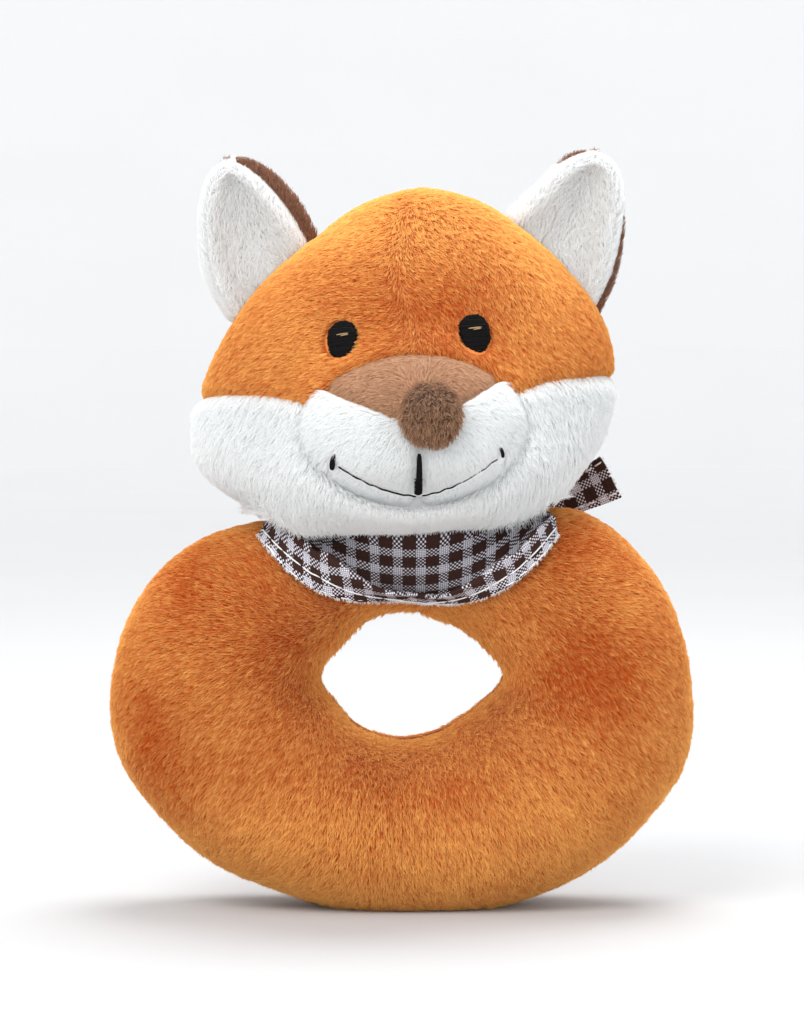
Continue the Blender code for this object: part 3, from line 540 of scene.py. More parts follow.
def add_pile(
    piece, material, nap, length, per_mm2, seed, stand=0.55, clump=0.7 * MM, gather=0.45,
    keep=None, shade=None, floor=None, ragged=0.22, contrast=1.0,
):
    """Hair curves rooted all over a piece, their tips gathered into clumps.

    nap gives each root's lie, stand how far the hairs rise from the skin, keep which roots stay, and shade
    a change of tone: painted light and shade.
    """
    rng = np.random.default_rng(seed)
    mesh = piece.data
    mesh.calc_loop_triangles()
    corner = np.empty(len(mesh.loop_triangles) * 3, np.int32)
    mesh.loop_triangles.foreach_get("vertices", corner)
    corner = corner.reshape(-1, 3)
    points = coords(mesh)
    outward = normals(mesh)
    a, b, c = (points[corner[:, k]] for k in range(3))
    area = np.linalg.norm(np.cross(b - a, c - a), axis=1) / 2
    count = int(area.sum() / MM**2 * per_mm2)
    chosen = np.searchsorted(np.cumsum(area) / area.sum(), rng.random(count))
    chosen = np.minimum(chosen, len(area) - 1)
    root = np.sqrt(rng.random(count))[:, None]
    split = rng.random(count)[:, None]
    share = (1 - root, root * (1 - split), root * split)
    place = sum(s * points[corner[chosen, k]] for k, s in enumerate(share))
    normal = unit(sum(s * outward[corner[chosen, k]] for k, s in enumerate(share)))
    if keep is not None:
        kept = keep(place)
        place = place[kept]
        normal = normal[kept]
    count = len(place)
    lie = unit(nap(place)) + rng.normal(0, ragged, (count, 3))
    lie -= normal * (lie * normal).sum(1, keepdims=True)
    lie = unit(lie)
    rise = stand(place) if callable(stand) else np.full(count, stand)
    long = (length(place) if callable(length) else np.full(count, length)) * rng.uniform(0.75, 1.08, count)
    middle = place + normal * (long * (0.25 + 0.4 * rise))[:, None] + lie * (long * 0.18)[:, None]
    tip = place + normal * (long * rise)[:, None] + lie * (long * np.sqrt(1 - 0.8 * rise**2))[:, None]
    mean, member = clump_means(tip, clump)
    tip += (mean - tip) * gather
    mean, _ = clump_means(tip, clump * 2.6)
    tip += (mean - tip) * gather * 0.25
    step = np.linspace(0, 1, HAIR_POINTS)[None, :, None]
    strands = place[:, None] * (1 - step) ** 2
    strands = strands + middle[:, None] * 2 * step * (1 - step) + tip[:, None] * step**2
    if floor is not None:
        strands[:, :, 2] = np.maximum(strands[:, :, 2], floor)
    tone = 0.16 * rng.normal(0, 1, member.max() + 1)[member] + 0.10 * rng.normal(0, 1, count)
    tone = PILE_TONE + tone * contrast
    if shade is not None:
        tone += shade(place)
    curves = bpy.data.hair_curves.new(piece.name + "_pile")
    curves.add_curves([HAIR_POINTS] * count)
    curves.attributes["position"].data.foreach_set("vector", strands.astype(np.float32).ravel())
    radius = curves.attributes.new("radius", "FLOAT", "POINT")
    radius.data.foreach_set("value", np.tile(HAIR_RADII, count).astype(np.float32))
    # The tone carries painted shade at the roots and painted sheen at the tips, and the pile's painted light
    # from shade.
    tones = curves.attributes.new("tone", "FLOAT", "POINT")
    tones.data.foreach_set("value", np.clip(tone[:, None] + PAINTED_ROOT_SHADE_TIP_SHEEN, 0, 1).astype(np.float32).ravel())
    curves.materials.append(material)
    pile = bpy.data.objects.new(piece.name + "_pile", curves)
    scene.collection.objects.link(pile)
    pile.parent = piece


# ---------------------------------------------------------------- ring


def profile(points, degrees):
    """Radius in metres at an angle, on a smooth closed curve through (degrees, millimetres) points."""
    angles = np.array([p[0] for p in points], float)
    radii = np.tile([p[1] for p in points], 3)
    angles = np.concatenate([angles - 360, angles, angles + 360])
    slopes = np.gradient(radii, angles)
    at = np.mod(degrees, 360)
    low = np.clip(np.searchsorted(angles, at) - 1, 0, len(angles) - 2)
    span = angles[low + 1] - angles[low]
    t = (at - angles[low]) / span
    value = (
        (2 * t**3 - 3 * t**2 + 1) * radii[low]
        + (t**3 - 2 * t**2 + t) * span * slopes[low]
        + (3 * t**2 - 2 * t**3) * radii[low + 1]
        + (t**3 - t**2) * span * slopes[low + 1]
    )
    return value * MM


def ring_section(theta, inset=0.0):
    degrees = np.degrees(theta)
    outer = profile(RING_OUTER, degrees)
    inner = profile(RING_INNER, degrees)
    neck = np.maximum(0.0, np.sin(theta)) ** 3
    depth = RING_HALF_DEPTH + (NECK_HALF_DEPTH - RING_HALF_DEPTH) * neck
    return (outer + inner) / 2, (outer - inner) / 2 - inset, depth - inset


def ring_point(theta, phi, inset=0.0):
    """Points of the ring's surface: phi is 0 at the outer seam and pi at the inner one, front first."""
    middle, half_width, half_depth = ring_section(theta, inset)
    across = signed_power(np.cos(phi), 2 / RING_ROUNDNESS)
    forward = signed_power(np.sin(phi), 2 / RING_ROUNDNESS)
    radius = middle + half_width * across
    x = HOLE_X + radius * np.cos(theta)
    z = HOLE_Z + radius * np.sin(theta)
    y = RING_Y - half_depth * forward
    return np.stack([x, y, np.maximum(z, inset)], -1)


def ring_panel(name, side):
    """One half of the ring's plush, with a valley at each seam and soft lumps of stuffing."""
    around, across = 560, 150
    theta = np.linspace(0, math.tau, around, endpoint=False)[:, None] + np.zeros((1, across))
    phi = side * np.linspace(0, math.pi, across)[None, :] + np.zeros((around, 1))
    outline = ring_point(theta, phi)
    seam = valley(outline[..., 1] - RING_Y, 1.7 * MM, 1.3 * MM)
    lumps = noise_over(19 * MM, 3, *np.moveaxis(outline, -1, 0)) * 0.55 * MM
    inner = (1 - np.cos(phi)) / 2
    pucker = noise_over(5 * MM, 8, theta * 15 * MM) * 0.5 * MM * inner**3
    grain = noise_over(0.7 * MM, 5, theta * 32 * MM, phi * 7 * MM) * 0.12 * MM
    inset = RING_PILE + seam + lumps + pucker + grain
    grid = ring_point(theta, phi, np.maximum(inset, 0.45 * MM))
    mesh = grid_mesh(name, grid, closed=True)
    core = ring_point(theta, phi, 12 * MM).reshape(-1, 3)
    if (normals(mesh) * (coords(mesh) - core)).sum() < 0:
        mesh.flip_normals()
    return mesh


def ring_nap(place):
    away = place - np.array((HOLE_X, 0, HOLE_Z))
    away[:, 1] = 0
    return unit(away) * 0.75 + np.array((0, 0, -0.5)) + swirl(place, 21 * MM, (11, 12)) * 0.55


def ring_stand(place):
    return np.clip(0.52 + 0.16 * noise(place, 15 * MM, 21), 0.3, 0.8)


RING_PATCHES = (  # x and z about the hole's centre, width, height and depth of tone, in millimetres
    (31, 3, 10, 12, -0.34), (-40, 18, 12, 9, -0.26), (-46, -14, 6, 12, -0.30), (2, -20, 12, 5, -0.22),
    (42, -18, 9, 16, 0.12), (30, 26, 14, 7, -0.22), (-26, 6, 9, 9, -0.12), (-22, -26, 12, 9, 0.08),
)


def ring_shade(place):
    """Painted sheen, lighter where the pile lies along the light: low on the ring, round the hole, along the
    outline.
    """
    x = (place[:, 0] - HOLE_X) / MM
    z = (place[:, 2] - HOLE_Z) / MM
    round_hole = bell(np.hypot(x, z * 1.15) - 15, 5)
    low = smooth(-z, 12, 34)
    patches = sum(depth * bell(x - px, wide, z - pz, tall) for px, pz, wide, tall, depth in RING_PATCHES)
    outline = smooth(np.abs(place[:, 1] - RING_Y), 11 * MM, 2 * MM)
    fine = 0.13 * noise(place, 15 * MM, 31) + 0.10 * noise(place, 6 * MM, 32)
    return fine + 0.20 * low + 0.16 * round_hole + 0.22 * outline - 0.02 + patches


def make_ring(materials):
    for name, side in (("front", 1), ("back", -1)):
        skin = ring_panel(f"ring_{name}_plush", side)
        node = f"ring_{name}_panel"
        piece = add_piece(skin.name, skin, materials["orange_skin"], "ring", (node,))
        add_pile(
            piece, materials["orange_pile"], ring_nap, 1.8 * MM, 20, 100 + side, stand=ring_stand,
            shade=ring_shade, floor=0.15 * MM, clump=0.45 * MM,
        )


# ---------------------------------------------------------------- head


def chin_lean(z):
    return CHIN_PUSH * (np.maximum(0.0, -z) / HEAD_BOTTOM) ** CHIN_CURVE


def head_points(direction):
    """The head's surface in the direction of unit vectors, about the head's centre."""
    height = direction[:, 2]
    level = np.hypot(direction[:, 0], direction[:, 1])
    above = height > 0
    bend = np.where(above, 2 / HEAD_TOP_POWER, 2 / HEAD_BOTTOM_POWER)
    z = np.where(above, HEAD_TOP, HEAD_BOTTOM) * signed_power(height, bend)
    outline = level**bend
    depth_outline = level ** np.where(above, 2 / HEAD_TOP_DEPTH_POWER, 2 / HEAD_BOTTOM_DEPTH_POWER)
    turn = np.arctan2(direction[:, 1], direction[:, 0])
    across = signed_power(np.cos(turn), 2 / HEAD_SECTION_POWER)
    forward = signed_power(np.sin(turn), 2 / HEAD_SECTION_POWER)
    depth = np.where(direction[:, 1] < 0, HEAD_FRONT_DEPTH, HEAD_BACK_DEPTH)
    x = HEAD_HALF_WIDTH * outline * across + HEAD_LEAN * z
    y = depth * depth_outline * forward - chin_lean(z)
    return np.stack([x, y, z], -1)


def head_surface_y(x, z):
    """Y of the front of the head at x and z."""
    power = HEAD_TOP_POWER if z > 0 else HEAD_BOTTOM_POWER
    depth_power = HEAD_TOP_DEPTH_POWER if z > 0 else HEAD_BOTTOM_DEPTH_POWER
    tall = HEAD_TOP if z > 0 else HEAD_BOTTOM
    outline = (1 - min(abs(z) / tall, 1.0) ** power) ** (1 / power)
    level = outline ** (power / 2)
    across = min(abs(x - HEAD_LEAN * z) / (HEAD_HALF_WIDTH * outline), 1.0)
    forward = (1 - across**HEAD_SECTION_POWER) ** (1 / HEAD_SECTION_POWER)
    return -HEAD_FRONT_DEPTH * level ** (2 / depth_power) * forward - float(chin_lean(z))


def muzzle_give(z):
    """How far the soft lower half of the muzzle lies back, so that it runs on into the chin."""
    return MUZZLE_GIVE * smooth(-z, 13 * MM, 21 * MM)


def muzzle_surface_y(x, z):
    dx = (x - MUZZLE_CENTRE[0]) / MUZZLE_HALF[0]
    dz = (z - MUZZLE_CENTRE[2]) / MUZZLE_HALF[2]
    return MUZZLE_CENTRE[1] - MUZZLE_HALF[1] * math.sqrt(max(0.0, 1 - dx * dx - dz * dz))


def on_muzzle(x, z, lift):
    place = np.array((x, muzzle_surface_y(x, z), z))
    outward = unit((place - MUZZLE_CENTRE) / MUZZLE_HALF**2)
    return place + outward * lift + np.array((0, muzzle_give(z), 0))


def mouth_z(x):
    return MOUTH_LOW_Z + (MOUTH_CORNER_Z - MOUTH_LOW_Z) * (abs(x) / MOUTH_HALF_WIDTH) ** MOUTH_CURVE


def muzzle_reach(place):
    """How far out a point is on the muzzle, seen from in front: 0 at its middle and 1 at its rim."""
    return np.hypot(place[:, 0] / MUZZLE_HALF[0], (place[:, 2] - MUZZLE_CENTRE[2]) / MUZZLE_HALF[2])


def inside_muzzle(place, grow):
    return (((place - MUZZLE_CENTRE) / (MUZZLE_HALF + grow)) ** 2).sum(1) < 1


def cut_to(mesh, planes):
    """The part of a mesh on the side that each plane's normal points to."""
    bm = bmesh.new()
    bm.from_mesh(mesh)
    for point, normal in planes:
        geometry = [*bm.verts, *bm.edges, *bm.faces]
        bmesh.ops.bisect_plane(
            bm, geom=geometry, dist=1e-7, plane_co=point, plane_no=normal, clear_inner=True
        )
    made = bpy.data.meshes.new(mesh.name + "_part")
    bm.to_mesh(made)
    bm.free()
    return made


def sphere_mesh(segments, rings):
    turn = np.linspace(0, math.tau, segments, endpoint=False)[:, None]
    tilt = np.linspace(-math.pi / 2, math.pi / 2, rings + 1)[None, :]
    grid = np.stack([np.cos(turn) * np.cos(tilt), np.sin(turn) * np.cos(tilt), np.sin(tilt) + 0 * turn], -1)
    mesh = grid_mesh("sphere", grid, closed=True)
    bm = bmesh.new()
    bm.from_mesh(mesh)
    bmesh.ops.remove_doubles(bm, verts=bm.verts, dist=1e-6)
    bm.to_mesh(mesh)
    bm.free()
    return mesh


def valley(distance, depth, width):
    return depth * bell(distance, width)


def border_lift(place):
    """The seam between crown and cheeks dips beside the muzzle and rises towards the sides."""
    beside = bell(np.abs(place[:, 0]) - 17 * MM, 6 * MM)
    front = smooth(-place[:, 1], 0, 12 * MM)
    near = bell(place[:, 2] - CHEEK_LINE, 9 * MM)
    return (-2.0 * MM * beside + 0.9 * MM) * front * near


def slim_jaw(place):
    """Draws in the head's lower corners, the left one more than the right and upwards too."""
    low = smooth(-place[:, 2], 8 * MM, 24 * MM)
    jowl = 1.8 * MM * low * smooth(np.abs(place[:, 0]), 20 * MM, 36 * MM)
    left = smooth(-place[:, 0], 17 * MM, 34 * MM) * low
    place[:, 0] -= np.where(place[:, 0] > 0, 1.0, -1.5) * jowl
    place[:, 2] += 2.8 * MM * left
    return place


def head_skin(mesh, name, pile):
    """Sinks a panel under its pile, with valleys at its seams, and flattens it over the neck."""
    place = coords(mesh)
    outward = normals(mesh)
    sink = pile + noise(place, 15 * MM, 41) * 0.5 * MM + noise(place, 0.9 * MM, 42) * 0.1 * MM
    front = name != "head_back"
    if front:
        sink += valley(place[:, 0], 0.1 * MM, 1.1 * MM) * smooth(-place[:, 1], -10 * MM, 0)
        sink += valley(place[:, 2] - CHEEK_LINE, 0.7 * MM, 1.2 * MM)
    sink += valley(place[:, 1] - BACK_SEAM_Y, 1.0 * MM, 1.2 * MM)
    place = place - outward * sink[:, None]
    dome = 1 + 0.17 * smooth(place[:, 2], 27 * MM, 35 * MM)
    place[:, 0] = HEAD_LEAN * place[:, 2] + (place[:, 0] - HEAD_LEAN * place[:, 2]) * dome
    place[:, 1] *= dome
    place = slim_jaw(place)
    brow = smooth(np.abs(place[:, 0]), 18 * MM, 36 * MM) * bell(place[:, 2] - 6 * MM, 15 * MM)
    place[:, 0] += 1.1 * MM * brow
    if front:
        place[:, 2] += border_lift(place)
        rim = muzzle_reach(place)
        below = smooth(-place[:, 2], 8 * MM, 17 * MM)
        wide = np.where(rim > 1, 0.22 + 0.10 * below, 0.11)
        place[:, 1] -= (2.4 + 1.9 * below) * MM * bell(rim - 1.0, wide) * smooth(-place[:, 1], 0, 9 * MM)
    chin = smooth(-place[:, 1], -CHIN_FRONT_Y, -CHIN_FRONT_Y + 4 * MM)
    rest = NECK_CUT_Z + 1.6 * MM - 7 * MM * chin
    place[:, 2] = np.maximum(place[:, 2], rest)
    set_coords(mesh, head_to_world(place))


def crown_nap(place):
    local = to_head(place)
    left = smooth(-local[:, 0], -5 * MM, 6 * MM)[:, None]
    lie = left * np.array((-0.9, 0, -0.45)) + (1 - left) * np.array((0.4, 0, -0.9))
    return lie + swirl(place, 14 * MM, (51, 52)) * 0.45


# Painted light on the crown's pile: lighter towards the top, as if lit from above, and painted sheen along
# the outline; also lighter beside the brows and darker in the middle of the face.
def crown_shade(place):
    local = to_head(place)
    middle = bell(local[:, 0] - 4 * MM, 13 * MM, local[:, 2] - 15 * MM, 10 * MM)
    top = smooth(local[:, 2], 12 * MM, 33 * MM)
    outline = smooth(np.abs(local[:, 1] - BACK_SEAM_Y), 13 * MM, 3 * MM)
    brow = bell(np.abs(local[:, 0]) - 20 * MM, 9 * MM, local[:, 2] - 12 * MM, 8 * MM)
    uneven = 0.12 * noise(place, 13 * MM, 53)
    return uneven + 0.42 * top + 0.24 * outline + 0.10 * brow - 0.24 * middle


def cheek_nap(place):
    local = to_head(place)
    aside = np.clip(local[:, 0] / (30 * MM), -1, 1)
    lie = np.stack([0.45 * aside, -0.15 + 0 * aside, -1 + 0 * aside], -1)
    return lie + swirl(place, 10 * MM, (54, 55)) * 0.35


def cheek_length(place):
    """The white pile is longest at the sides of the jaw, and short in its middle, over the kerchief."""
    local = to_head(place)
    aside = smooth(np.abs(local[:, 0]), 26 * MM, 38 * MM)
    jaw = smooth(-local[:, 2], 15 * MM, 24 * MM)
    middle = np.exp(-(((local[:, 0] + 3 * MM) / (17 * MM)) ** 4))
    return (2.3 + jaw * (2.4 - 3.1 * middle) + 0.9 * aside) * MM


def down_nap(place):
    return np.array((0, 0, -1.0)) + swirl(place, 16 * MM, (56, 57), (0, 1)) * 0.4


def add_plush(name, mesh, colour, materials):
    return add_piece(
        name + "_plush", mesh, materials[colour + "_skin"], "head", (name,)
    )


def make_head(materials):
    whole = sphere_mesh(420, 260)
    set_coords(whole, head_points(unit(coords(whole))))
    half = -SEAM_OVERLAP
    front = ((0, BACK_SEAM_Y - half, 0), (0, -1, 0))
    back = ((0, BACK_SEAM_Y + half, 0), (0, 1, 0))
    above = ((0, 0, CHEEK_LINE + half), (0, 0, 1))
    below = ((0, 0, CHEEK_LINE - half), (0, 0, -1))
    left = ((-half, 0, 0), (-1, 0, 0))
    right = ((half, 0, 0), (1, 0, 0))
    face = cut_to(whole, (front,))
    panels = {
        "crown_left": (face, (above, left), "orange"),
        "crown_right": (face, (above, right), "orange"),
        "cheek_left": (face, (below, left), "white"),
        "cheek_right": (face, (below, right), "white"),
        "head_back": (whole, (back,), "orange"),
    }
    eyes = [eye_frame(side) for side in (-1, 1)]

    def clear_of_features(place):
        local = to_head(place)
        free = ~inside_muzzle(local, -0.6 * MM)
        for centre, _, right_way, up_way in eyes:
            offset = local - centre
            across = offset @ right_way / EYE_HALF[0]
            along = offset @ up_way / EYE_HALF[2]
            free &= (across**2 + along**2 > 1.3) | (local[:, 1] > 0)
        return free

    for number, (name, (source, planes, colour)) in enumerate(panels.items()):
        mesh = cut_to(source, planes)
        white = colour == "white"
        head_skin(mesh, name, (1.1 if white else 1.0) * MM)
        piece = add_plush(name, mesh, colour, materials)
        if white:
            look = dict(stand=0.55, clump=0.8 * MM, gather=0.18, contrast=0.3, ragged=0.18)
            add_pile(
                piece, materials["white_pile"], cheek_nap, cheek_length, 18, 200 + number,
                keep=clear_of_features, **look,
            )
        else:
            look = dict(stand=0.5, clump=0.45 * MM, gather=0.45, contrast=0.9, ragged=0.22)
            nap = crown_nap if name.startswith("crown") else down_nap
            add_pile(
                piece, materials["orange_pile"], nap, 1.6 * MM, 24, 200 + number,
                keep=clear_of_features, shade=crown_shade, **look,
            )


# ---------------------------------------------------------------- muzzle and nose


def ellipsoid_mesh(centre, half, segments, rings):
    mesh = sphere_mesh(segments, rings)
    set_coords(mesh, centre + coords(mesh) * half)
    return mesh


def bridge_edge(place):
    """Signed distance above the bridge's V-shaped lower edge."""
    slope = np.array((math.sin(BRIDGE_SLOPE), 0, math.cos(BRIDGE_SLOPE)))
    offset = place - np.array((0, 0, BRIDGE_LOW_Z))
    return np.minimum(offset @ slope, offset @ (slope * np.array((-1, 1, 1))))


def mouth_distance(place):
    """Distance in x and z from the smile and from the philtrum."""
    x, z = place[:, 0], place[:, 2]
    curve = mouth_z(x)
    slope = (mouth_z(x + 0.1 * MM) - mouth_z(x - 0.1 * MM)) / (0.2 * MM)
    smile = np.abs(z - curve) / np.sqrt(1 + slope**2)
    smile = np.where(np.abs(x) < MOUTH_HALF_WIDTH + 0.5 * MM, smile, 1.0)
    middle = np.where((z < PHILTRUM_Z[0]) & (z > PHILTRUM_Z[1]), np.abs(x), 1.0)
    return smile, middle


def muzzle_skin(mesh, pile):
    place = coords(mesh)
    outward = normals(mesh)
    edge = bridge_edge(place)
    sink = pile + noise(place, 9 * MM, 61) * 0.4 * MM + noise(place, 0.8 * MM, 62) * 0.08 * MM
    sink -= bell(np.abs(place[:, 0]) - 9 * MM, 6 * MM, place[:, 2] + 13 * MM, 6 * MM) * MM
    sink += valley(edge, 0.8 * MM, 1.0 * MM)
    sink += valley(place[:, 0], 1.3 * MM, 1.5 * MM) * smooth(-edge, 0, 1.5 * MM)
    smile, _ = mouth_distance(place)
    sink += valley(smile, 0.25 * MM, 0.7 * MM)
    back = np.array((0, 1.0, 0)) * muzzle_give(place[:, 2])[:, None]
    set_coords(mesh, head_to_world(place - outward * sink[:, None] + back))


def muzzle_nap(place):
    local = to_head(place)
    away = local - NOSE_CENTRE
    away[:, 1] = 0
    return unit(away) * 0.8 + np.array((0, 0, -0.5)) + 0.3 * noise(place, 8 * MM, 63)[:, None]


def muzzle_length(place):
    """Short round the mouth, longer where the pile runs into the chin's and the cheeks'."""
    local = to_head(place)
    edge = muzzle_reach(local)
    smile, _ = mouth_distance(local)
    return (1.1 + 0.6 * smooth(smile, 0.6 * MM, 2 * MM) + 0.8 * smooth(edge, 0.8, 0.98)) * MM


def make_muzzle(materials):
    whole = ellipsoid_mesh(MUZZLE_CENTRE, MUZZLE_HALF, 300, 200)
    half = -SEAM_OVERLAP
    slope = Vector((math.sin(BRIDGE_SLOPE), 0, math.cos(BRIDGE_SLOPE)))
    mirrored = Vector((-slope.x, 0, slope.z))
    low = Vector((0, 0, BRIDGE_LOW_Z))
    back = ((0, MUZZLE_BACK_Y, 0), (0, -1, 0))
    pieces = {
        "muzzle_bridge": (((low + slope * half), slope), ((low + mirrored * half), mirrored)),
        "muzzle_left": ((low - slope * half, -slope), ((-half, 0, 0), (-1, 0, 0))),
        "muzzle_right": ((low - mirrored * half, -mirrored), ((half, 0, 0), (1, 0, 0))),
    }

    def clear_of_mouth(place):
        local = to_head(place)
        smile, middle = mouth_distance(local)
        nose = (((local - NOSE_CENTRE) / (NOSE_HALF * 0.8)) ** 2)[:, [0, 2]].sum(1) > 1
        aside = np.abs(np.abs(local[:, 0]) - CORNER_X) > 0.7 * MM
        corner = aside | (np.abs(local[:, 2] - CORNER_Z) > 1.6 * MM)
        return (smile > 0.55 * MM) & (middle > 0.6 * MM) & nose & corner

    for number, (name, planes) in enumerate(pieces.items()):
        mesh = cut_to(whole, (back, *planes))
        bridge = name == "muzzle_bridge"
        colour = "bridge" if bridge else "white"
        muzzle_skin(mesh, (0.7 if bridge else 0.9) * MM)
        piece = add_plush(name, mesh, colour, materials)
        if bridge:
            length, look = 1.3 * MM, dict(stand=0.45, gather=0.3, contrast=0.7)
        else:
            length, look = muzzle_length, dict(stand=0.5, gather=0.15, contrast=0.35)
        add_pile(
            piece, materials[colour + "_pile"], muzzle_nap, length, 22, 300 + number,
            keep=clear_of_mouth, clump=0.5 * MM, ragged=0.18, **look,
        )


def nose_nap(place):
    local = to_head(place) - NOSE_CENTRE
    return np.stack([-local[:, 0] * 60, 0 * local[:, 0], np.full(len(local), -1.0)], -1)


def make_nose(materials):
    whole = ellipsoid_mesh(NOSE_CENTRE, NOSE_HALF, 120, 80)
    mesh = cut_to(whole, (((0, NOSE_CENTRE[1] + 2.2 * MM, 0), (0, -1, 0)),))
    place = coords(mesh)
    dent = valley(place[:, 0] - NOSE_CENTRE[0] + 0.6 * MM, 0.8 * MM, 1.0 * MM)
    dent *= smooth(-place[:, 2], 6 * MM, 10 * MM)
    sink = 1.5 * MM + noise(place, 3 * MM, 71) * 0.25 * MM + noise(place, 0.7 * MM, 72) * 0.1 * MM + dent
    set_coords(mesh, head_to_world(place - normals(mesh) * sink[:, None]))
    piece = add_piece("nose_plush", mesh, materials["nose_skin"], "head", ("nose_cover",))
    look = dict(stand=0.75, clump=0.65 * MM, gather=0.6, ragged=0.6)
    add_pile(piece, materials["nose_pile"], nose_nap, 1.8 * MM, 18, 350, **look)


# ---------------------------------------------------------------- ears


def inside_head(place, grow):
    above = place[:, 2] > 0
    power = np.where(above, HEAD_TOP_POWER, HEAD_BOTTOM_POWER)
    tall = np.where(above, HEAD_TOP, HEAD_BOTTOM) + grow
    share = np.clip(np.abs(place[:, 2]) / tall, 0, 1)
    outline = np.maximum((1 - share**power) ** (1 / power), 1e-6)
    level = outline ** (power / 2)
    depth = np.where(place[:, 1] < 0, HEAD_FRONT_DEPTH, HEAD_BACK_DEPTH) + grow
    depth = depth * level ** np.where(above, 2 / HEAD_TOP_DEPTH_POWER, 2 / HEAD_BOTTOM_DEPTH_POWER)
    across = np.abs(place[:, 0] - HEAD_LEAN * place[:, 2]) / ((HEAD_HALF_WIDTH + grow) * outline)
    forward = np.abs(place[:, 1] + chin_lean(place[:, 2])) / depth
    return (across**HEAD_SECTION_POWER + forward**HEAD_SECTION_POWER < 1) & (share < 1)


def spline(points, share):
    """Points at shares from 0 to 1 along a smooth curve through the given ones."""
    points = np.asarray(points, float)
    at = np.clip(share, 0, 1) * (len(points) - 1)
    low = np.minimum(at.astype(int), len(points) - 2)
    part = (at - low)[..., None]
    ends = np.vstack([2 * points[:1] - points[1:2], points, 2 * points[-1:] - points[-2:-1]])
    p0, p1, p2, p3 = (ends[low + k] for k in range(4))
    square = (2 * p0 - 5 * p1 + 4 * p2 - p3) * part**2
    cube = (3 * p1 - p0 - 3 * p2 + p3) * part**3
    return 0.5 * (2 * p1 + (p2 - p0) * part + square + cube)


def ear_grid(ear, v, x, depth, set_in=2.0 * MM):
    """Points of an ear.

    v runs from 0 at the base to 1 at the tip, x is metres in from the inner edge and depth is backwards.
    The base rises along its own slope until it is only set_in deep in the head.
    """
    inner = spline(ear["inner"], v) * MM
    outer = spline(ear["outer"], v) * MM
    flat = inner + unit(outer - inner) * x[..., None]
    base = np.array(ear["outer"][0]) - np.array(ear["inner"][0])
    up = unit(np.array((-base[1], base[0])))
    up = up if up[1] > 0 else -up
    sunk = np.zeros(v.shape)
    for _ in range(100):
        risen = flat + up * sunk[..., None]
        spot = np.stack([risen[..., 0], EAR_BASE_Y + depth, risen[..., 1]], -1)
        buried = inside_head(spot.reshape(-1, 3), -set_in).reshape(v.shape)
        sunk = sunk + np.where(buried, 0.1 * MM, 0.0)
    flat = flat + up * (sunk * (1 - v))[..., None]
    return np.stack([flat[..., 0], EAR_BASE_Y + depth, flat[..., 1]], -1)


def ear_nap(place):
    return np.array((0, -0.1, 1.0)) + swirl(place, 7 * MM, (83,), (0,)) * 0.6


def ear_width(ear, v):
    return np.linalg.norm(spline(ear["outer"], v) - spline(ear["inner"], v), axis=-1) * MM


def rim_width(rim, v):
    return np.interp(v, np.linspace(0, 1, len(rim)), rim)


def ear_front(ear):
    """The white panel: a soft lip all round a hollow, its edge rolled back to the seam."""
    u = np.linspace(-1, 1, 150)[:, None] + np.zeros((1, 150))
    v = np.linspace(0, 1, 150)[None, :] + np.zeros((150, 1))
    full = ear_width(ear, v)
    rims = [np.minimum(rim_width(rim, v) * MM, 0.35 * full) for rim in ear["rims"]]
    x = rims[0] + (full - rims[0] - rims[1]) * (u + 1) / 2
    low = v * (1 - 0.045 * v)
    reach = 1 - (1 - u**4) * (1 - smooth(v, 0.55, 1.0) ** 2)
    lip = -1.3 * MM * bell(reach - 0.5, 0.4)
    roll = 2.8 * MM * smooth(reach, 0.5, 1.0) ** 1.5
    hollow = 3.0 * MM * bell(u + 0.05, 0.5, v - 0.30, 0.34)
    soft = noise_over(0.5, 81, u, v) * 0.5 * MM
    return ear_grid(ear, low, x, 0.6 * MM + lip + roll + hollow + soft * (1 - reach))


def ear_back(ear):
    """The brown panel: it wraps round the edges, where the front panel leaves it showing."""
    bend, flat = 22, 60  # columns round each edge and between them
    turn = np.linspace(0, math.pi, bend)
    v = np.linspace(0, 1, 150)[None, :] + np.zeros((2 * bend + flat, 1))
    full = ear_width(ear, v)
    shown = [rim_width(rim, v) for rim in ear["rims"]]
    tucks = [0.9 * MM * smooth(-rim, -0.7, 0) for rim in shown]
    rims = [np.minimum((rim + 0.6) * MM, 0.45 * full) for rim in shown]
    straight = np.full(bend + flat, math.pi)
    inner = np.concatenate([turn, straight])[:, None]
    outer = np.concatenate([straight, turn[::-1]])[:, None]
    share = np.concatenate([np.zeros(bend), np.linspace(0, 1, flat), np.ones(bend)])[:, None]
    first = tucks[0] + rims[0] * (1 - np.sin(inner))
    last = full - tucks[1] - rims[1] * (1 - np.sin(outer))
    x = first * (1 - share) + last * share
    bulge = np.sin(math.pi * share) ** 0.7 * np.sin(math.pi * np.clip(0.9 * v, 0, 1))
    wrap = np.where(share < 0.5, np.cos(inner), np.cos(outer))
    return ear_grid(ear, v, x, 3.1 * MM - 1.1 * MM * wrap + 2.0 * MM * bulge, 1.2 * MM)


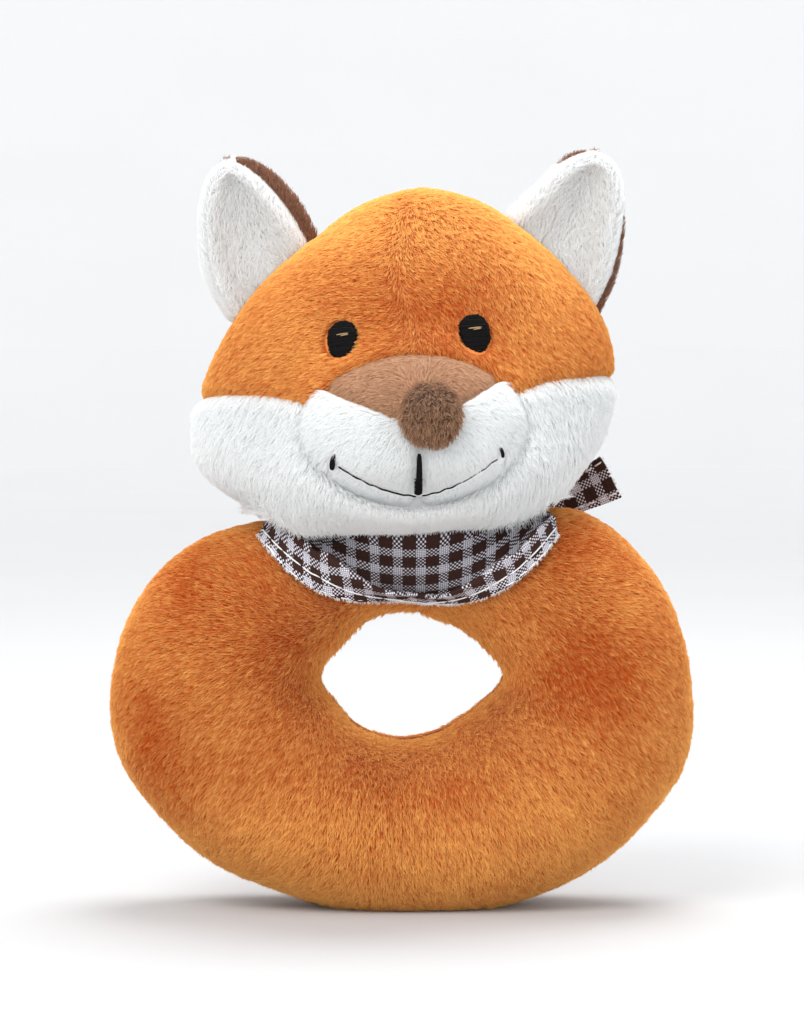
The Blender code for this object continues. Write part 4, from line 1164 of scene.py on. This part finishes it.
def make_ear(side, ear, materials):
    """A cupped front panel with a soft lip, and a back panel whose edge shows round part of it."""
    for layer, grid, colour in (("front", ear_front(ear), "white"), ("back", ear_back(ear), "ear_back")):
        node = f"ear_{side}_{layer}"
        mesh = grid_mesh(node + "_plush", head_to_world(grid.reshape(-1, 3)).reshape(grid.shape))
        front = layer == "front"
        if normals(mesh)[:, 1].sum() * (-1 if front else 1) < 0:
            mesh.flip_normals()
        piece = add_piece(mesh.name, mesh, materials[colour + "_skin"], "ear_" + side, (node,))
        look = dict(gather=0.2, contrast=0.3) if front else dict(gather=0.4, contrast=1.0)
        add_pile(
            piece, materials[colour + "_pile"], ear_nap, (2.0 if front else 1.6) * MM, 22,
            400 + len(side) + front, stand=0.6, clump=0.7 * MM, ragged=0.35, **look,
        )


# ---------------------------------------------------------------- embroidery


def eye_frame(side):
    """Centre, outward, sideways and upward directions of an eye, about the head's centre."""
    x = side * EYE_X
    step = 0.5 * MM
    y = head_surface_y(x, EYE_Z)
    slope_x = (head_surface_y(x + step, EYE_Z) - head_surface_y(x - step, EYE_Z)) / (2 * step)
    slope_z = (head_surface_y(x, EYE_Z + step) - head_surface_y(x, EYE_Z - step)) / (2 * step)
    outward = unit(np.array((slope_x, -1.0, slope_z)))
    turn = Vector((0, -1, 0)).rotation_difference(Vector(outward)).to_matrix()
    sideways, upward = (np.array(turn @ Vector(way)) for way in ((1, 0, 0), (0, 0, 1)))
    return np.array((x, y, EYE_Z)), outward, sideways, upward


def make_eye(name, side, materials):
    """A satin-stitch oval: layers of threads laid across a raised pad."""
    rng = np.random.default_rng(500 + side)
    centre, outward, right, up = eye_frame(side)
    paths = []
    for tilt, lift in ((0.25, -0.1), (-0.2, 0.05), (0.05, 0.2)):
        turn_x = right * math.cos(tilt) + up * math.sin(tilt)
        turn_z = up * math.cos(tilt) - right * math.sin(tilt)
        for row in np.arange(-3.5, 3.51, 0.22):
            height = row + rng.normal(0, 0.03)
            reach = 2.85 * math.sqrt(max(0.0, 1 - (height / 3.6) ** 2)) + rng.normal(0, 0.08)
            if reach < 0.7:
                continue
            across = np.linspace(-1, 1, 11)
            crown = (1 - (height / 3.7) ** 2) * 0.45 + 0.35
            rise = crown * np.sqrt(np.maximum(0, 1 - across**4)) - 0.5 + lift + rng.normal(0, 0.03)
            bend = height + 0.12 * math.sin(row * 2.1) * across + rng.normal(0, 0.03)
            path = turn_x * (across * reach)[:, None] + turn_z * bend[:, None] + outward * rise[:, None]
            paths.append(head_to_world(centre + path * MM))
    mesh = tube_mesh(f"eye_{name}_satin", paths, [0.17 * MM] * len(paths), 5)
    add_piece(mesh.name, mesh, materials["black_floss"], "head", (f"eye_{name}",))
    glints = []
    for dx, dz, reach in ((0.0, 0.95, 1.25), (0.35, 0.72, 0.8)):
        across = np.linspace(-1, 1, 7)
        rise = 0.55 + 0.12 * (1 - across**2)
        path = right * (dx + across * reach)[:, None] + up * (dz + 0.10 * across)[:, None]
        path += outward * rise[:, None]
        glints.append(head_to_world(centre + path * MM))
    mesh = tube_mesh(f"eye_{name}_glint_stitch", glints, [0.10 * MM] * len(glints), 5)
    add_piece(mesh.name, mesh, materials["beige_floss"], "head", (f"eye_glint_{name}",))


def add_floss(name, node, paths, radii, materials):
    mesh = tube_mesh(name, [head_to_world(np.array(path)) for path in paths], radii, 7)
    add_piece(name, mesh, materials["black_floss"], "head", (node,))


def make_mouth(materials):
    rng = np.random.default_rng(7)
    strands = []
    radii = []
    for offset in (-0.32, -0.1, 0.12, 0.33):
        heights = np.linspace(*PHILTRUM_Z, 15)
        part = np.linspace(0, 1, 15)
        spread_out = np.sin(math.pi * np.clip(part * 0.9 + 0.1, 0, 1)) ** 0.4 * (0.7 + 0.5 * part)
        lift = 0.35 * MM - 0.5 * MM * (np.abs(part * 2 - 1) ** 8)
        strands.append([
            on_muzzle(offset * MM * w - 0.15 * MM * p, z, l)
            for z, w, l, p in zip(heights, spread_out, lift, part)
        ])
        radii.append(0.24 * MM)
    for row in range(9):
        z = PHILTRUM_Z[1] + (0.1 + 0.32 * row) * MM
        tilt = rng.normal(0, 0.1) * MM
        strands.append([
            on_muzzle(x * MM - 0.15 * MM, z + tilt * x, (0.62 - 0.9 * x * x) * MM)
            for x in np.linspace(-0.75, 0.7, 7)
        ])
        radii.append(0.17 * MM)
    add_floss("philtrum_floss", "philtrum_stitch", strands, radii, materials)
    smile = []
    for side in (-1, 1):
        xs = side * np.linspace(0.5, 14.2, 60) * MM
        wave = 0.07 * MM * np.sin(np.abs(xs) / MM * 2.3)
        smile.append([
            on_muzzle(x, mouth_z(x) + 0.05 * MM * math.sin(x / MM * 3), 0.1 * MM + w)
            for x, w in zip(xs, wave)
        ])
    add_floss("smile_floss", "smile_stitch", smile, [0.17 * MM, 0.15 * MM], materials)
    for name, corner, low, high, offsets in (
        ("left", -15.1, -14.0, -10.9, (-0.3, 0.0, 0.28)),
        ("right", 15.1, -13.2, -11.2, (-0.12, 0.12)),
    ):
        part = np.linspace(0, 1, 9)
        swell = np.sin(math.pi * part) ** 0.5
        paths = []
        for offset in offsets:
            xs = (corner + offset * swell + 0.5 * (0.5 - part) * np.sign(corner)) * MM
            zs = (low + (high - low) * part) * MM
            paths.append([on_muzzle(x, z, l) for x, z, l in zip(xs, zs, (0.5 * swell - 0.3) * MM)])
        node = "mouth_corner_" + name
        add_floss(node + "_floss", node, paths, [0.22 * MM] * len(paths), materials)


# ---------------------------------------------------------------- kerchief

BIB_CURVE = np.polynomial.Polynomial.fit([p[0] * MM for p in BIB_EDGE], [p[1] * MM for p in BIB_EDGE], 4)


def bib_edge(x):
    """Height of the bib's lower edge, drawn up a little in the middle where the two rolled edges meet."""
    return BIB_CURVE(x) + BIB_DRAWN_UP * bell(x, 9 * MM)


def front_angles(x, z):
    theta = np.arctan2(z - HOLE_Z, x - HOLE_X)
    middle, half_width, _ = ring_section(theta, -0.6 * MM)
    across = np.clip((np.hypot(x - HOLE_X, z - HOLE_Z) - middle) / half_width, -1, 1)
    return theta, np.arccos(signed_power(across, RING_ROUNDNESS / 2))


def cloth_angles(turn, share):
    """Angles on the ring of a point of the cloth.

    turn goes round the neck and is positive in front; share is 0 at the neck and 1 at the cloth's edge.
    """
    inner = (math.pi / 2 - NECK_HOLE[0] * np.cos(turn), NECK_HOLE[1] * np.sin(turn))
    left, right = BIB_EDGE[0][0] * MM, BIB_EDGE[-1][0] * MM
    x = (left + right) / 2 + (right - left) / 2 * np.cos(turn)
    theta, phi = front_angles(x, bib_edge(x))
    side = np.where(np.cos(turn) > 0, right, left)
    corner = front_angles(side, bib_edge(side))
    behind = np.sin(turn) ** 2
    back = np.sin(turn) < 0
    theta = np.where(back, math.pi / 2 + (corner[0] - math.pi / 2) * np.abs(np.cos(turn)), theta)
    phi = np.where(back, corner[1] + (BACK_EDGE - corner[1]) * behind, phi)
    return inner[0] + (theta - inner[0]) * share, inner[1] + (phi - inner[1]) * share


def cloth_point(turn, share, lift):
    theta, phi = cloth_angles(turn, share)
    return ring_point(theta, phi, -lift)


def set_cloth(mesh, places, painted_shade=0.0):
    """Stores each vertex's place along the cloth's warp and weft, in metres, and how much painted shade
    darkens it.
    """
    attribute = mesh.attributes.new("cloth", "FLOAT_VECTOR", "POINT")
    flat = np.zeros((len(mesh.vertices), 3), np.float32)
    flat[:, :2] = places.reshape(-1, 2)
    flat[:, 2] = np.ravel(painted_shade)
    attribute.data.foreach_set("vector", flat.ravel())


def thicken(piece, thickness):
    modifier = piece.modifiers.new("thickness", "SOLIDIFY")
    modifier.thickness = thickness
    modifier.offset = 0.0
    modifier.use_even_offset = False


def make_cloth(materials):
    around, across = 420, 90
    turn = np.linspace(0, math.tau, around, endpoint=False)[:, None] + np.zeros((1, across))
    share = np.linspace(0, 0.97, across)[None, :] + np.zeros((around, 1))
    flat = cloth_point(turn, share, 0 * turn)
    front = smooth(np.sin(turn), -0.1, 0.3)
    folds = noise_over(4.5 * MM, 91, turn * 22 * MM, share * 5 * MM)
    sag = np.sin(math.pi * np.clip(share * 1.05, 0, 1)) * front
    lift = (0.7 + 0.3 * sag + 0.4 * folds * (1 - 0.5 * share)) * MM
    ridge = bell(share - 0.52 + 0.10 * np.cos(turn) ** 2, 0.07) * front
    lift += ridge * np.clip(1.3 - np.abs(np.cos(turn)), 0, 1) * 0.5 * MM
    lift += COLLAR * bell(share, 0.15)  # closes the neck all round
    grid = cloth_point(turn, share, np.maximum(lift, 0.5 * MM))
    mesh = grid_mesh("kerchief_cloth", grid, closed=True)
    hang = 1.3 * (BIB_CURVE(flat[..., 0]) - BIB_CURVE(0.5 * MM)) * front
    places = np.stack([flat[..., 0], 1.45 * (flat[..., 2] - hang) + (1 - front) * flat[..., 1]], -1)
    # Painted shade: darkest in the middle of the bib towards its edge, where the pocket lies recessed under
    # the chin.
    pocket_shade = bell(flat[..., 0], 17 * MM) * smooth(share, 0.15, 0.75) * front
    set_cloth(mesh, places, pocket_shade)
    face_outwards(mesh, np.array((0, RING_Y, 60 * MM)))
    piece = add_piece("kerchief_cloth", mesh, materials["gingham"], "ring", ("kerchief",))
    thicken(piece, 0.35 * MM)
    return piece


# Rolled edges of the bib: angles round the neck, and widths in millimetres at the start, middle and end.
BANDS = {
    "left": (184, 80, (3.6, 7.8, 2.6)),
    "right": (-4, 90, (4.2, 6.6, 2.2)),
}


def band_profile(steps):
    """Across a rolled edge: distance inward as a share of the width, and lift in millimetres."""
    route = (
        (0.55, 0.85), (0.3, 0.85), (0.1, 0.85), (0.0, 1.0), (-0.02, 1.2), (0.04, 1.45), (0.2, 1.9),
        (0.45, 2.6), (0.7, 3.8), (0.9, 4.8), (1.0, 4.9), (0.99, 4.3), (0.85, 3.4),
    )
    curve = spline(route, np.linspace(0, 1, steps))
    return curve[:, 0], curve[:, 1]


def band_point(turn, inward, lift):
    """A point near the bib's edge, inward metres from it."""
    edge = cloth_point(turn, 1.0 + 0 * turn, lift)
    deeper = cloth_point(turn, 0.9 + 0 * turn, lift)
    reach = np.maximum(np.linalg.norm(edge - deeper, axis=-1), 0.2 * MM)
    return cloth_point(turn, 1.0 - 0.1 * inward / reach, lift)


def band_width(part, widths):
    return np.interp(part, (0, 0.5, 1), widths) * MM


def distance_along(points):
    """The running length of each row of points from its first one."""
    steps = np.linalg.norm(np.diff(points, axis=-2), axis=-1)
    return np.concatenate([np.zeros((*steps.shape[:-1], 1)), np.cumsum(steps, -1)], -1)


def make_bands(materials):
    stitches = []
    frays = []
    edges = []
    rng = np.random.default_rng(23)
    for number, (name, (start, end, widths)) in enumerate(BANDS.items()):
        along, across = 320, 72
        part = np.linspace(0, 1, along)
        turn = np.radians(start + (end - start) * part)[:, None] + np.zeros((1, across))
        inward, lift = band_profile(across)
        width = band_width(part, widths)[:, None]
        wave = noise_over(6 * MM, 95 + number, part * 60 * MM)[:, None]
        wobble = noise_over(2.2 * MM, 97 + number, part * 60 * MM)[:, None]
        raised = (0.35 + 0.65 * smooth(part, 0.02, 0.4) - 0.6 * smooth(part, 0.8, 1))[:, None]
        waves = (0.42 * wave + 0.14 * wobble) * np.clip(inward, 0, 1)[None, :]
        high = (0.85 + (lift[None, :] - 0.85) * raised + waves) * MM
        in_place = inward[None, :] * width * (1 + 0.12 * wave)
        grid = band_point(turn, in_place, high)
        mesh = grid_mesh(f"kerchief_band_{name}", grid)
        lengths = distance_along(grid[:, across // 2])
        girths = distance_along(grid)
        slant = 0.25 * girths * (1 if name == "left" else -1)
        set_cloth(mesh, np.stack([lengths[:, None] + slant, girths - 0.12 * lengths[:, None]], -1))
        face_outwards(mesh, grid.reshape(-1, 3).mean(0) + np.array((0, 4 * MM, 0)))
        piece = add_piece(mesh.name, mesh, materials["gingham"], "ring")
        thicken(piece, 0.3 * MM)
        edges.append(piece)
        fine = np.linspace(0.02, 0.96, 600)
        spot = np.radians(start + (end - start) * fine)
        run = band_point(spot, 0.34 * band_width(fine, widths), (1.5 + 1.15 * smooth(fine, 0.02, 0.4)) * MM)
        loose, risen = noise(run, 2 * MM, 93), noise(run, 1.5 * MM, 94)
        edge = band_point(spot, 0.15 * MM + 0.3 * MM * loose, (1.45 + 0.3 * risen) * MM)
        stitches += [edge[130:380], edge[395:]]
        covered = distance_along(run)
        at = 0.0
        while at + 4.8 * MM < covered[-1]:
            length = rng.uniform(3.6, 4.7) * MM
            share = np.linspace(0, 1, 8)
            path = np.stack([np.interp(at + share * length, covered, run[:, axis]) for axis in range(3)], -1)
            path[:, 1] -= (0.22 * np.sin(math.pi * share) - 0.25) * MM
            stitches.append(path)
            at += length + rng.uniform(0.15, 0.35) * MM
        for at in rng.uniform(0, 1, 380):
            turn = np.radians([start + (end - start) * at])
            inward, high = np.array([rng.uniform(-0.1, 0.25) * MM]), np.array([rng.uniform(1.0, 1.5) * MM])
            root = band_point(turn, inward, high)[0]
            away = unit(np.array((rng.normal(0, 0.6), -0.35, -1 + rng.normal(0, 0.3))))
            frays.append(np.array([root, root + away * 0.25 * MM, root + away * rng.uniform(0.4, 0.8) * MM]))
    mesh = tube_mesh("kerchief_hem_stitches", stitches, [0.14 * MM] * len(stitches), 6)
    white = materials["white_thread"]
    edges.append(add_piece(mesh.name, mesh, white, "ring", ("kerchief_hem_thread",)))
    mesh = tube_mesh("kerchief_frayed_edge", frays, [0.055 * MM] * len(frays), 4)
    edges.append(add_piece(mesh.name, mesh, white, "ring"))
    return edges


def make_knot(materials):
    mesh = ellipsoid_mesh(KNOT_CENTRE, KNOT_HALF, 90, 60)
    place = coords(mesh)
    offset = (place - KNOT_CENTRE) / KNOT_HALF
    wrap = 0.35 * np.sin(offset[:, 2] * 5 + offset[:, 0] * 3) + 0.3 * noise(place, 2 * MM, 99)
    place += unit(offset) * wrap[:, None] * MM
    set_coords(mesh, place)
    set_cloth(mesh, place[:, [0, 2]])
    node = "kerchief_knot"
    add_piece(node + "_cloth", mesh, materials["gingham"], "ring", (node,))


def make_tail(name, materials):
    start, middle, end = (np.array(p) * MM + np.array((0, RING_Y, 0)) for p in TAILS[name])
    rows, columns = 110, 60
    t = np.linspace(0, 1, rows)[:, None, None]
    across = np.linspace(-1, 1, columns)[None, :]
    centre = start * (1 - t) ** 2 + middle * 2 * t * (1 - t) + end * t**2
    run = (middle - start) * (1 - t) + (end - middle) * t
    side = unit(np.cross(np.array((0, 1.0, 0)), run))
    narrow, wide = 2.2, 4.3  # half widths in millimetres at the knot and at the cut end
    half = (narrow + (wide - narrow) * t[..., 0]) * MM
    outward = unit(np.cross(run, side))
    part = t[..., 0] + 0 * across
    curl = 0.5 * np.sin(across * 2.4 + part * 3) * part + 0.35 * np.cos(part * 7) * part
    grid = centre + side * (across * half)[..., None] + outward * (curl * MM)[..., None]
    node = "kerchief_tail_" + name
    mesh = grid_mesh(node + "_cloth", grid)
    length = np.linalg.norm(end - start) * 1.03
    set_cloth(mesh, np.stack([part * length, across * half], -1))
    body = "tail_" + name
    piece = add_piece(mesh.name, mesh, materials["gingham"], body, (node,))
    thicken(piece, 0.5 * MM)
    rng = np.random.default_rng(31)
    dashes = []
    for edge in (-1, 1):
        for first in np.arange(0.22, 0.93, 0.1):
            share = np.linspace(first, first + 0.075, 7)
            column = int((0.5 + edge * 0.37) * (columns - 1))
            rows_at = (share * (rows - 1)).astype(int)
            for face in (-1, 1):
                lift = face * (0.34 + 0.2 * np.sin(np.linspace(0, math.pi, 7))) * MM
                dashes.append(grid[rows_at, column] + outward[rows_at, 0] * lift[:, None])
    frays = 46
    for at in rng.uniform(0.02, 0.98, frays):
        column = int(at * (columns - 1))
        tip = grid[-1, column]
        away = unit(grid[-1, column] - grid[-6, column] + rng.normal(0, 0.3, 3) * MM)
        dashes.append(np.array([tip, tip + away * 0.3 * MM, tip + away * rng.uniform(0.5, 1.0) * MM]))
    radii = [0.16 * MM] * (len(dashes) - frays) + [0.05 * MM] * frays
    mesh = tube_mesh(node + "_stitches", dashes, radii, 5)
    add_piece(mesh.name, mesh, materials["white_thread"], body)


# ---------------------------------------------------------------- inner pieces


def finish_inner_nodes(materials):
    """Capsule, beads and seam threads keep the CAD's shapes; the fibre is a lumpy copy of its solids."""
    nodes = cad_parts
    for name in ("capsule_cup", "capsule_lid"):
        dress(nodes[name], materials["capsule"])
    for number in range(1, 6):
        dress(nodes[f"bead_{number}"], materials["bead"])
    for name in ("ring_outer_seam_thread", "ring_inner_seam_thread", "neck_seam_thread"):
        dress(nodes[name], materials["orange_thread"])
    wads = ("ring_stuffing", "head_stuffing_front", "head_stuffing_back", "muzzle_stuffing", "nose_stuffing")
    for name in wads:
        mesh = nodes[name].data.copy()
        bm = bmesh.new()
        bm.from_mesh(mesh)
        bmesh.ops.remove_doubles(bm, verts=bm.verts, dist=1e-6)
        bmesh.ops.triangulate(bm, faces=bm.faces)
        bmesh.ops.subdivide_edges(bm, edges=bm.edges, cuts=2, use_grid_fill=True)
        bm.normal_update()
        bm.to_mesh(mesh)
        bm.free()
        place = coords(mesh)
        wad = 0.9 + 0.6 * noise(place, 5 * MM, 111) + 0.3 * noise(place, 1.6 * MM, 112)
        place -= normals(mesh) * (np.maximum(wad, 0) * MM)[:, None]
        if name.startswith("head"):
            place = head_to_world(slim_jaw(to_head(place)))
        set_coords(mesh, place)
        body = "ring" if name == "ring_stuffing" else "head"
        add_piece(name + "_fibre", mesh, materials["fibre"], body, (name,))


def dress(node, material):
    node.data.materials.clear()
    node.data.materials.append(material)


def make_materials():
    return {
        "orange_skin": skin_material("orange_backing", (0.46, 0.12, 0.015), (0.66, 0.22, 0.04)),
        "orange_pile": pile_material(
            "orange_pile", (0.60, 0.095, 0.001), (0.99, 0.60, 0.17), 0.12, glow=0.4
        ),
        "white_skin": skin_material("white_backing", (0.66, 0.67, 0.67), (0.74, 0.75, 0.755)),
        "white_pile": pile_material(
            "white_pile", (0.87, 0.88, 0.88), (0.945, 0.955, 0.955), 0.2, glow=0.5
        ),
        "bridge_skin": skin_material("bridge_backing", (0.46, 0.22, 0.13), (0.60, 0.32, 0.20)),
        "bridge_pile": pile_material("bridge_pile", (0.40, 0.20, 0.10), (0.72, 0.45, 0.28)),
        "nose_skin": skin_material("nose_backing", (0.10, 0.045, 0.025), (0.16, 0.075, 0.04)),
        "nose_pile": pile_material("nose_pile", (0.15, 0.065, 0.03), (0.56, 0.32, 0.18)),
        "ear_back_skin": skin_material("ear_back_backing", (0.20, 0.085, 0.045), (0.28, 0.12, 0.065)),
        "ear_back_pile": pile_material("ear_back_pile", (0.20, 0.085, 0.045), (0.38, 0.18, 0.10)),
        "gingham": gingham_material(),
        "white_thread": thread_material("white_thread", (0.85, 0.85, 0.84), (0.66, 0.66, 0.66)),
        "orange_thread": thread_material("orange_thread", (0.55, 0.16, 0.03), (0.32, 0.08, 0.012)),
        "black_floss": thread_material(
            "black_floss", (0.006, 0.005, 0.005), (0.001, 0.001, 0.001), 0.8, 0.0, 0.12
        ),
        "beige_floss": thread_material("beige_floss", (0.42, 0.27, 0.11), (0.25, 0.15, 0.06), 0.45),
        "fibre": fibre_material(),
        "capsule": plastic_material("capsule_plastic", (0.86, 0.86, 0.80), (0.78, 0.78, 0.72), 0.35),
        "bead": plastic_material("bead_plastic", (0.82, 0.80, 0.72), (0.70, 0.68, 0.60), 0.3),
    }


def main():
    add_camera()
    add_light()
    add_floor()
    materials = make_materials()
    make_ring(materials)
    make_head(materials)
    make_muzzle(materials)
    make_nose(materials)
    for side, ear in EARS.items():
        make_ear(side, ear, materials)
    for name, side in (("left", -1), ("right", 1)):
        make_eye(name, side, materials)
    make_mouth(materials)
    cloth = make_cloth(materials)
    edges = make_bands(materials)
    make_knot(materials)
    make_tail("upper", materials)
    make_tail("lower", materials)
    finish_inner_nodes(materials)


main()
